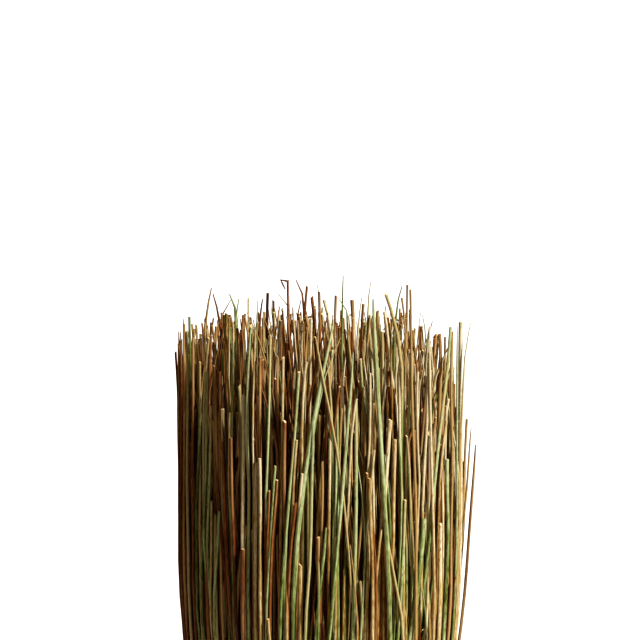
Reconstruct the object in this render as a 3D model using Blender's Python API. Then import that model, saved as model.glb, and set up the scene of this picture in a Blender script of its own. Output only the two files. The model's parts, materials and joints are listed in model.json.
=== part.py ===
"""A bunch of soft rush, tied with twine, that stands on its cut ends.

Metres, +Z up. The origin is the middle of the level cut ends, and -Y is the bunch's front.
"""

import math
import random
from collections import namedtuple

import bmesh
import bpy
from mathutils import Matrix, Vector

# Overall size
HEIGHT = 0.440
CROWN_RADIUS = 0.0790
FOOT_RADIUS = 0.0750
MERGE_DISTANCE = 0.00002

# The waist, where the twine gathers the stems
TIE_HEIGHT = 0.150
TIE_RADIUS = 0.0700
TIE_HALF_BAND = 0.006
OPENS_ABOVE = 0.074
OPENS_BELOW = 0.060

# Heights at which every stem and the packed stems share a ring of points
LEVELS = (0.0, TIE_HEIGHT - TIE_HALF_BAND, TIE_HEIGHT + TIE_HALF_BAND, 0.200, 0.260)

# Single stems: their thicknesses, and the share of its thickness that a stem keeps at its tip
THICK = 0.0028
MEDIUM = 0.0025
SLIM = 0.0021
CUT_TIP = 0.9
THIN_TIP = 0.35

# A stem that lies over others is a layer further out, and is there within a sixth of its way up from the twine.
LAYER = 0.0034
RISES_WITHIN = 1 / 6

# Stems on the back. Leans and tops are in millimetres.
BACK_STEMS = 20
BACK_SEED = 12
BACK_LEAN = 3.5
BACK_LOWEST = 315
BACK_HIGHEST = 425
BACK_THIN_EVERY = 4

# Packed stems' sides
FLUTES = 90
FLUTE_DEPTH = 0.0008
PACKED_INSET = 0.0039
SPARE = 0.020

# Packed stems' tips
CROWN_SEED = 7
TIP_PITCH = 0.0064
TIP_SHIFT = 0.25 * TIP_PITCH
TALLEST_TIP = 0.436
CROWN_DROP = 0.020
TIP_SHORTENS = 0.030
FEW_ARE_SHORT = 1.5
LOWEST_VALLEY = 0.372
HIGHEST_VALLEY = 0.392

# Twine
TWINE_THICK = 0.0024
TWINE_TURNS = 4
TWINE_STEPS = 40
TWINE_CLEARANCE = 0.0004
TWINE_BEVEL = 0.0003

# One turn of twine in section, from its top edge down: shares of its thickness as (down, out)
TURN_SECTION = ((0.08, 0.55), (0.50, 1.00), (0.92, 0.55))

# The knot and the twine's two short ends, which hang from it side by side
KNOT_ANGLE = math.radians(-62)
KNOT_SIZE = 0.0042
KNOT_FORM = (1.0, 0.75, 0.85)
KNOT_OUT = 0.0006
TAIL_LENGTH = 0.026
TAIL_STEPS = 4
TAIL_OUT = 0.0012
TAIL_FLARE = 0.06
TAIL_SPLAY = 0.10
TAIL_BEND = 1.3
TAIL_DROPS = {-1: 0.84, 1: 1.0}

Finish = namedtuple("Finish", "colour roughness")
FINISHES = {
    "green_rush": Finish((0.33, 0.37, 0.13), 0.45),
    "straw_rush": Finish((0.52, 0.35, 0.14), 0.50),
    "brown_rush": Finish((0.16, 0.08, 0.03), 0.50),
    "rust_rush": Finish((0.33, 0.13, 0.04), 0.50),
    "mixed_rush": Finish((0.24, 0.16, 0.06), 0.60),
    "twine": Finish((0.45, 0.32, 0.17), 0.90),
}
BACK_FINISHES = ("brown_rush", "straw_rush", "green_rush", "straw_rush", "rust_rush")

# A stem on the bunch's outside. at is its place round the waist in degrees, 0 at the front and positive to the
# right. lean is how far its tip has moved sideways, top is its tip's height, both in millimetres. over counts the
# layers that it lies on top of, out is how far its tip stands off the bunch, and cut says whether its end is flat.
Stem = namedtuple("Stem", "at lean top thick finish cut over out", defaults=(True, 0, 0.0))

FRONT = (
    Stem(-87.5, 0.0, 399, MEDIUM, "brown_rush"),
    Stem(-82.5, -0.5, 405, MEDIUM, "brown_rush"),
    Stem(-77.5, 0.5, 408, MEDIUM, "rust_rush"),
    Stem(-72.5, 1.0, 420, MEDIUM, "brown_rush", False),
    Stem(-67.5, 0.5, 414, MEDIUM, "green_rush"),
    Stem(-62.5, 1.5, 411, MEDIUM, "brown_rush"),
    Stem(-57.5, 3.0, 374, SLIM, "straw_rush"),
    Stem(-52.5, 1.5, 322, MEDIUM, "straw_rush"),
    Stem(-47.5, 2.5, 318, MEDIUM, "green_rush"),
    Stem(-42.5, -1.0, 374, SLIM, "brown_rush"),
    Stem(-37.5, 1.5, 422, MEDIUM, "green_rush", False),
    Stem(-32.5, 1.5, 384, MEDIUM, "straw_rush"),
    Stem(-27.5, 2.5, 348, THICK, "straw_rush"),
    Stem(-22.5, 1.5, 331, MEDIUM, "rust_rush"),
    Stem(-17.5, 4.5, 405, MEDIUM, "straw_rush"),
    Stem(-12.5, -1.5, 308, MEDIUM, "straw_rush"),
    Stem(-7.5, 0.0, 295, THICK, "straw_rush"),
    Stem(-2.5, 21.0, 408, THICK, "green_rush", False, 1),
    Stem(2.5, -4.5, 310, MEDIUM, "rust_rush"),
    Stem(7.5, -1.0, 381, SLIM, "green_rush"),
    Stem(12.5, 2.5, 382, THICK, "green_rush"),
    Stem(17.5, 3.0, 354, MEDIUM, "straw_rush"),
    Stem(22.5, -5.0, 341, MEDIUM, "straw_rush", True, 1),
    Stem(27.5, -3.5, 331, MEDIUM, "straw_rush"),
    Stem(32.5, -17.5, 436, THICK, "green_rush", False, 1),
    Stem(37.5, -7.0, 398, MEDIUM, "straw_rush"),
    Stem(42.5, -9.5, 440, MEDIUM, "brown_rush", True, 1),
    Stem(47.5, 2.0, 361, MEDIUM, "straw_rush"),
    Stem(52.5, -10.0, 419, MEDIUM, "straw_rush", False, 1),
    Stem(57.5, -0.5, 311, THICK, "straw_rush"),
    Stem(62.5, 0.5, 345, THICK, "green_rush"),
    Stem(67.5, -2.0, 414, MEDIUM, "rust_rush"),
    Stem(72.5, 0.5, 416, SLIM, "green_rush", False),
    Stem(77.5, 1.5, 363, MEDIUM, "brown_rush"),
    Stem(82.5, 1.0, 417, THICK, "straw_rush"),
    Stem(87.5, 1.0, 348, SLIM, "brown_rush", False, 0, 8.5),
)


def outer_radius(z):
    """Radius of the bunch at a height, to the outside of its stems."""
    wide, opens = (CROWN_RADIUS, OPENS_ABOVE) if z > TIE_HEIGHT else (FOOT_RADIUS, OPENS_BELOW)
    return wide - (wide - TIE_RADIUS) * math.exp(-(((z - TIE_HEIGHT) / opens) ** 2))


def back_stems():
    """The stems on the back, spaced evenly and cut to mixed heights."""
    pick = random.Random(BACK_SEED)
    step = 180 / BACK_STEMS
    found = []
    for i in range(BACK_STEMS):
        found.append(
            Stem(
                at=90 + step * (i + 0.5),
                lean=pick.uniform(-BACK_LEAN, BACK_LEAN),
                top=pick.uniform(BACK_LOWEST, BACK_HIGHEST),
                thick=pick.choice((SLIM, MEDIUM, THICK)),
                finish=BACK_FINISHES[i % len(BACK_FINISHES)],
                cut=(i + 1) % BACK_THIN_EVERY != 0,
            )
        )
    return found


def link(name, data, collection, finish=None):
    """Adds an object with its finish to a collection."""
    obj = bpy.data.objects.new(name, data)
    collection.objects.link(obj)
    if finish:
        data.materials.append(bpy.data.materials[finish])
    return obj


def mesh_from(bm, name):
    """Turns a bmesh into a mesh."""
    bmesh.ops.recalc_face_normals(bm, faces=bm.faces)
    mesh = bpy.data.meshes.new(name)
    bm.to_mesh(mesh)
    bm.free()
    return mesh


def tube_curve(name, points, thick, tip=1.0):
    """A round tube with closed ends through some points, with the share of its thickness that its end keeps."""
    curve = bpy.data.curves.new(name, "CURVE")
    curve.dimensions = "3D"
    curve.bevel_depth = thick / 2
    curve.bevel_resolution = 1
    curve.use_fill_caps = True
    spline = curve.splines.new("POLY")
    spline.points.add(len(points) - 1)
    for point, place in zip(spline.points, points):
        point.co = (*place, 1.0)
    spline.points[-1].radius = tip
    return curve


def use_shape(obj, shape, operation):
    """Cuts an object to a hidden shape, or joins the shape to it."""
    shape.hide_render = True
    shape.display_type = "WIRE"
    modifier = obj.modifiers.new(shape.name, "BOOLEAN")
    modifier.operation = operation
    modifier.solver = "EXACT"
    modifier.object = shape


def make_materials():
    """One plain material for each finish."""
    for name, finish in FINISHES.items():
        material = bpy.data.materials.new(name)
        material.use_nodes = True
        shader = material.node_tree.nodes["Principled BSDF"]
        shader.inputs["Base Color"].default_value = (*finish.colour, 1.0)
        shader.inputs["Roughness"].default_value = finish.roughness
        shader.inputs["Metallic"].default_value = 0.0


def stem_line(stem):
    """The points along a stem's middle: up the foot, under the twine, then opening out to its tip."""
    tip = stem.top / 1000
    twine_top = TIE_HEIGHT + TIE_HALF_BAND
    points = []
    for z in [level for level in LEVELS if level < tip] + [tip]:
        risen = max(0.0, (z - twine_top) / (tip - twine_top))
        lifted = min(1.0, risen / RISES_WITHIN)
        radius = outer_radius(z) - stem.thick / 2 + stem.over * LAYER * lifted
        radius += stem.out / 1000 * risen**2
        angle = math.radians(stem.at) + stem.lean / 1000 * risen / CROWN_RADIUS
        points.append(Vector((radius * math.sin(angle), -radius * math.cos(angle), z)))
    # The foot is upright, so that its cut end is level.
    points[0].xy = points[1].xy * (outer_radius(0.0) / outer_radius(points[1].z))
    return points


def make_stem(name, stem, collection):
    """One rush stem, as thick at a cut end as along it and thinner towards an end that grew."""
    curve = tube_curve(name, stem_line(stem), stem.thick, CUT_TIP if stem.cut else THIN_TIP)
    return link(name, curve, collection, stem.finish)


def fluted_column():
    """The packed stems' sides: a column with a flute for each pair of stems, waisted under the twine."""
    bm = bmesh.new()
    top = HEIGHT + SPARE
    bmesh.ops.create_cone(
        bm, cap_ends=True, segments=2 * FLUTES, radius1=1.0, radius2=1.0, depth=top
    )
    bmesh.ops.translate(bm, verts=bm.verts, vec=(0, 0, top / 2))
    for z in LEVELS[1:]:
        geometry = bm.verts[:] + bm.edges[:] + bm.faces[:]
        bmesh.ops.bisect_plane(bm, geom=geometry, plane_co=(0, 0, z), plane_no=(0, 0, 1))
    for vert in bm.verts:
        angle = math.atan2(vert.co.y, vert.co.x)
        on_ridge = round(angle / math.pi * FLUTES) % 2
        depth = FLUTE_DEPTH / 2 if on_ridge else -FLUTE_DEPTH / 2
        radius = outer_radius(vert.co.z) - PACKED_INSET + depth
        vert.co.xy = (radius * math.cos(angle), radius * math.sin(angle))
    return mesh_from(bm, "fluted_column")


def spiked_block():
    """A block whose top is a field of slender tips, one for each handful of stems, highest in the middle."""
    pick = random.Random(CROWN_SEED)
    bm = bmesh.new()
    cells = 2 * math.ceil(CROWN_RADIUS / TIP_PITCH) + 1
    bmesh.ops.create_grid(bm, x_segments=cells, y_segments=cells, size=cells * TIP_PITCH / 2)
    for vert in bm.verts:
        vert.co.z = pick.uniform(LOWEST_VALLEY, HIGHEST_VALLEY)
    for tip in bmesh.ops.poke(bm, faces=bm.faces[:])["verts"]:
        off_middle = tip.co.xy.length / CROWN_RADIUS
        shortened = TIP_SHORTENS * pick.random() ** FEW_ARE_SHORT
        tip.co.z = TALLEST_TIP - CROWN_DROP * off_middle**2 - shortened
        tip.co.x += pick.uniform(-TIP_SHIFT, TIP_SHIFT)
        tip.co.y += pick.uniform(-TIP_SHIFT, TIP_SHIFT)
    for element in bmesh.ops.extrude_face_region(bm, geom=bm.faces[:])["geom"]:
        if isinstance(element, bmesh.types.BMVert):
            element.co.z = -SPARE
    return mesh_from(bm, "spiked_block")


def make_packed_stems(parts, cutters):
    """The stems that aren't single nodes, as one solid of their form: fluted sides and a crown of tips."""
    packed = link("packed_stems", fluted_column(), parts, "mixed_rush")
    use_shape(packed, link("crown_of_tips", spiked_block(), cutters), "INTERSECT")


def twine_band():
    """The turns of twine side by side, as a turned ring with one rounded ridge for each turn."""
    inner = (TIE_RADIUS + TWINE_CLEARANCE) / math.cos(math.pi / TWINE_STEPS)
    half = TWINE_TURNS * TWINE_THICK / 2
    profile = []
    for turn in range(TWINE_TURNS):
        top = half - turn * TWINE_THICK
        for down, out in TURN_SECTION:
            profile.append((inner + out * TWINE_THICK, top - down * TWINE_THICK))
    profile += [(inner, -half + TWINE_BEVEL), (inner, half - TWINE_BEVEL)]
    bm = bmesh.new()
    verts = [bm.verts.new((r, 0, TIE_HEIGHT + z)) for r, z in profile]
    for start, end in zip(verts, verts[1:] + verts[:1]):
        bm.edges.new((start, end))
    bmesh.ops.spin(
        bm,
        geom=bm.verts[:] + bm.edges[:],
        cent=(0, 0, 0),
        axis=(0, 0, 1),
        angle=math.tau,
        steps=TWINE_STEPS,
        use_merge=True,
    )
    bmesh.ops.remove_doubles(bm, verts=bm.verts, dist=MERGE_DISTANCE)
    return mesh_from(bm, "twine_band")


def on_band(angle, z, out):
    """A point on the twine's outer side."""
    radius = TIE_RADIUS + TWINE_THICK + out
    return Vector((radius * math.sin(angle), -radius * math.cos(angle), z))


def make_knot(cutters):
    """The knot, as a flattened ball."""
    bm = bmesh.new()
    bmesh.ops.create_uvsphere(bm, u_segments=8, v_segments=5, radius=KNOT_SIZE)
    bmesh.ops.scale(bm, verts=bm.verts, vec=KNOT_FORM)
    bmesh.ops.rotate(bm, verts=bm.verts, cent=(0, 0, 0), matrix=Matrix.Rotation(KNOT_ANGLE, 3, "Z"))
    bmesh.ops.translate(bm, verts=bm.verts, vec=on_band(KNOT_ANGLE, TIE_HEIGHT, KNOT_OUT))
    return link("knot", mesh_from(bm, "knot"), cutters)


def make_tail(side, cutters):
    """One end of the twine, which leaves the knot to one side and hangs down."""
    points = []
    for step in range(TAIL_STEPS + 1):
        share = step / TAIL_STEPS
        along = TAIL_LENGTH * share
        angle = KNOT_ANGLE + side * TAIL_SPLAY * math.sin(TAIL_BEND * share)
        down = along * TAIL_DROPS[side]
        points.append(on_band(angle, TIE_HEIGHT - down, TAIL_OUT + TAIL_FLARE * along))
    tube = link("tail_curve", tube_curve("tail_curve", points, TWINE_THICK), cutters)
    bpy.context.view_layer.update()
    evaluated = tube.evaluated_get(bpy.context.evaluated_depsgraph_get())
    bm = bmesh.new()
    bm.from_mesh(bpy.data.meshes.new_from_object(evaluated))
    bpy.data.objects.remove(tube)
    bmesh.ops.remove_doubles(bm, verts=bm.verts, dist=MERGE_DISTANCE)
    return link("tail", mesh_from(bm, "tail"), cutters)


def make_twine(parts, cutters):
    """The tie: turns of twine, their knot and its two ends, in one piece."""
    twine = link("twine", twine_band(), parts, "twine")
    use_shape(twine, make_knot(cutters), "UNION")
    for side in TAIL_DROPS:
        use_shape(twine, make_tail(side, cutters), "UNION")


def main():
    """Builds the bunch."""
    for obj in list(bpy.data.objects):
        bpy.data.objects.remove(obj)
    make_materials()
    parts = bpy.data.collections.new("soft_rush_bunch")
    cutters = bpy.data.collections.new("cutters")
    for collection in (parts, cutters):
        bpy.context.scene.collection.children.link(collection)
    for number, stem in enumerate([*FRONT, *back_stems()], start=1):
        make_stem(f"stem_{number:02d}", stem, parts)
    make_packed_stems(parts, cutters)
    make_twine(parts, cutters)


main()
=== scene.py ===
"""The looks of a tied bunch of soft rush: every stem, the twine round them and their finishes.

Metres, +Z up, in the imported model's frame: the origin is the middle of the level cut ends, and -Y
is the front.
"""

import json
import logging
import math
from collections.abc import Iterator, Mapping
from dataclasses import dataclass, field
from enum import Enum

import bpy
import numpy as np
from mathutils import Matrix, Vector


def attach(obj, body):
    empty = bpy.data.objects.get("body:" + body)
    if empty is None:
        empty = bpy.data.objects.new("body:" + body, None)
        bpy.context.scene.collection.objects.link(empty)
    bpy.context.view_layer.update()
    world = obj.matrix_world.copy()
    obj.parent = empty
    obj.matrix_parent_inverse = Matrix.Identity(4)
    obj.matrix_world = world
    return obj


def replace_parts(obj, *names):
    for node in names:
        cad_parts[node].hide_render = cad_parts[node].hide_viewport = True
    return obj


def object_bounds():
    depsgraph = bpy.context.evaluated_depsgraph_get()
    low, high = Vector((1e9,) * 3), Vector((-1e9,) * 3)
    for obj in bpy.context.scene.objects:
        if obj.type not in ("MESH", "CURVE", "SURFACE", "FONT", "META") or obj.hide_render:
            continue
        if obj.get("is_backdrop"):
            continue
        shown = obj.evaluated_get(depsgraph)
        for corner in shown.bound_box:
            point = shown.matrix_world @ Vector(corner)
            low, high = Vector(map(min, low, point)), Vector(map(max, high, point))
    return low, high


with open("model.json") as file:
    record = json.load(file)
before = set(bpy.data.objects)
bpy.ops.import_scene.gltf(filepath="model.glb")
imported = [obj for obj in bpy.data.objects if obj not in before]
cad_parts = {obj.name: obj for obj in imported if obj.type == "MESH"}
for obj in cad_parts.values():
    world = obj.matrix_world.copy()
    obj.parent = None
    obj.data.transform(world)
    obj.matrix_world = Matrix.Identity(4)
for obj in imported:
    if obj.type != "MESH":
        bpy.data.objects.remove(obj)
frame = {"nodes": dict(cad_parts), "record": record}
CAD_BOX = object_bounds()

LOG = logging.getLogger("rush")

Array = np.ndarray
Random = np.random.Generator
Material, Mesh, Object = bpy.types.Material, bpy.types.Mesh, bpy.types.Object
Colour = tuple[float, float, float]
Pair = tuple[float, float]
# A line of straight runs, as np.interp reads it: where its points lie, and its values there
Table = tuple[tuple[float, ...], tuple[float, ...]]

# The map that the patterns along a stem or a strand read
PATTERN_MAP = "along"

# The least length that anything is divided by
TINY = 1e-7


class Tone(Enum):
    """The colours that the stems are sorted into, by the names of the record's slots."""

    GREEN = "green_rush"
    STRAW = "straw_rush"
    BROWN = "brown_rush"
    RUST = "rust_rush"


class Tip(Enum):
    """How a stem ends at its top."""

    CUT = 0
    THIN = 1
    FOLDED = 2


TONES = tuple(Tone)

# Short names for the tables below
GREEN, STRAW, BROWN, RUST = TONES
CUT, THIN, FOLDED = tuple(Tip)

# How many of a stem's rings lie past the fold in its tip
FOLD_RINGS = 3


@dataclass(frozen=True)
class BunchForm:
    """The outer form of the bunch, with the sizes that its solids have."""

    height: float = 0.440
    crown_radius: float = 0.0790
    foot_radius: float = 0.0750
    tie_height: float = 0.150
    tie_radius: float = 0.0700
    opens_above: float = 0.074
    opens_below: float = 0.060

    def outer_radius(self, z: Array) -> Array:
        """Gives the bunch's radius, to the outside of its stems.

        Args:
            z: Heights.

        Returns:
            The radius at each height.
        """
        above = z > self.tie_height
        wide = np.where(above, self.crown_radius, self.foot_radius)
        opens = np.where(above, self.opens_above, self.opens_below)
        return wide - (wide - self.tie_radius) * np.exp(-(((z - self.tie_height) / opens) ** 2))


@dataclass(frozen=True)
class PhotoView:
    """The camera, placed as the photograph's was, and where its pixels lie on the bunch."""

    elevation: float = math.radians(6.0)
    distance: float = 1.6
    frame_width: float = 0.352
    pixels: int = 640
    middle_height: float = 0.417
    sensor: float = 36.0

    def make_camera(self) -> None:
        """Makes the scene's camera, which looks along +Y and a little down."""
        data = bpy.data.cameras.new("photo_camera")
        data.sensor_width = self.sensor
        data.lens = self.sensor * self.distance / self.frame_width
        camera = bpy.data.objects.new("photo_camera", data)
        bpy.context.scene.collection.objects.link(camera)
        camera.location = self.eye()
        camera.rotation_euler = (math.pi / 2 - self.elevation, 0.0, 0.0)
        bpy.context.scene.camera = camera

    def eye(self) -> tuple[float, float, float]:
        """Gives the camera's place."""
        across = self.distance * math.cos(self.elevation)
        return (0.0, -across, self.middle_height + self.distance * math.sin(self.elevation))

    def place(self, pixel_x: float, pixel_y: float, depth: float) -> Pair:
        """Finds what a pixel shows, on an upright plane across the view.

        Args:
            pixel_x: The pixel's column.
            pixel_y: The pixel's row.
            depth: The plane's place along Y.

        Returns:
            The place's x and z.
        """
        aside = (pixel_x - self.pixels / 2) / self.pixels * self.frame_width / self.distance
        rise = (self.pixels / 2 - pixel_y) / self.pixels * self.frame_width / self.distance
        cos, sin = math.cos(self.elevation), math.sin(self.elevation)
        _, eye_y, eye_z = self.eye()
        reach = (depth - eye_y) / (cos + rise * sin)
        return reach * aside, eye_z + reach * (rise * cos - sin)


@dataclass(frozen=True)
class CrownTip:
    """A stem whose tip stands out at the top of the photograph, by the pixels that it passes."""

    tip: Pair
    below: Pair
    depth: float
    thick: float
    tone: Tone
    end: Tip = Tip.CUT
    hook: tuple[Pair, ...] = ()


# The folded end of the stem with the hook
HOOK = ((281, 280), (283, 284.3), (285.3, 289))

CROWN_TIPS = tuple(
    CrownTip(*row)
    for row in (
        ((175.8, 352), (177.4, 395), -0.004, 0.0016, BROWN),
        ((179.2, 341), (183.5, 387), -0.012, 0.0014, BROWN),
        ((189.5, 317), (190, 345), -0.020, 0.0018, GREEN),
        ((196, 325), (197, 350), -0.035, 0.0017, STRAW),
        ((211.5, 288), (204, 340), -0.036, 0.0017, STRAW, THIN),
        ((213, 294), (221, 334), -0.028, 0.0016, BROWN, THIN),
        ((230, 294), (236, 312), -0.040, 0.0015, GREEN, THIN),
        ((238.5, 299), (235, 330), -0.020, 0.0013, GREEN, THIN),
        ((231, 300), (223, 316), -0.010, 0.0009, STRAW, THIN),
        ((226.5, 314), (226, 345), -0.046, 0.0026, STRAW),
        ((243, 315), (241, 350), -0.050, 0.0018, RUST),
        ((258, 301), (256, 345), -0.044, 0.0013, GREEN, THIN),
        ((263, 299), (259, 345), -0.030, 0.0017, BROWN, THIN),
        ((268, 293), (266.5, 340), -0.020, 0.0020, BROWN),
        ((274, 301), (274.5, 345), -0.012, 0.0018, BROWN),
        ((276, 292), (287, 304), -0.030, 0.0008, STRAW, THIN),
        ((288, 281), (289.5, 345), -0.038, 0.0017, BROWN, FOLDED, HOOK),
        ((296, 280), (305, 306), -0.030, 0.0014, RUST, THIN),
        ((301, 300), (297, 325), -0.044, 0.0010, BROWN, THIN),
        ((307, 286), (304, 330), -0.015, 0.0017, BROWN),
        ((311.5, 297), (315, 345), -0.052, 0.0020, BROWN),
        ((317, 285), (320, 306), -0.036, 0.0009, GREEN, THIN),
        ((319.5, 292), (320, 345), -0.044, 0.0020, RUST),
        ((324, 300), (332, 345), -0.058, 0.0024, STRAW),
        ((336, 296), (334.5, 345), -0.030, 0.0019, BROWN),
        ((343.5, 275.5), (342, 335), -0.048, 0.0013, GREEN, THIN),
        ((337.5, 297), (348, 316), -0.062, 0.0009, GREEN, THIN),
        ((352, 300), (354, 345), -0.040, 0.0027, BROWN),
        ((361.5, 298), (357, 345), -0.030, 0.0014, STRAW, THIN),
        ((363.5, 304), (361, 345), -0.052, 0.0021, RUST),
        ((371, 281), (367.5, 312), -0.055, 0.0010, GREEN, THIN),
        ((377, 311), (376, 345), -0.040, 0.0022, STRAW),
        ((402, 286), (395.5, 320), -0.034, 0.0013, GREEN, THIN),
        ((402, 298), (406, 340), -0.050, 0.0015, BROWN),
        ((407.5, 285), (406.5, 345), -0.030, 0.0017, BROWN),
        ((423, 315), (427, 350), -0.030, 0.0011, GREEN, THIN),
        ((430, 327), (427, 365), -0.044, 0.0016, STRAW),
        ((439, 334), (441, 375), -0.036, 0.0024, BROWN),
        ((445, 337), (444.5, 375), -0.020, 0.0017, BROWN),
        ((453, 341), (452, 375), -0.010, 0.0012, GREEN, THIN),
        ((471, 321), (465, 362), -0.012, 0.0010, STRAW, THIN),
        ((466.9, 419), (466.3, 450), -0.006, 0.0016, BROWN),
        ((470.7, 428), (469, 455), -0.010, 0.0010, BROWN, THIN),
    )
)


@dataclass(frozen=True)
class FrontStem:
    """A stem that lies on the front of the bunch, by the pixels that it passes from its tip down."""

    passes: tuple[Pair, ...]
    thick: float
    tone: Tone
    pale: float = 0.7
    dry: float = 0.3
    end: Tip = Tip.CUT


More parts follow.
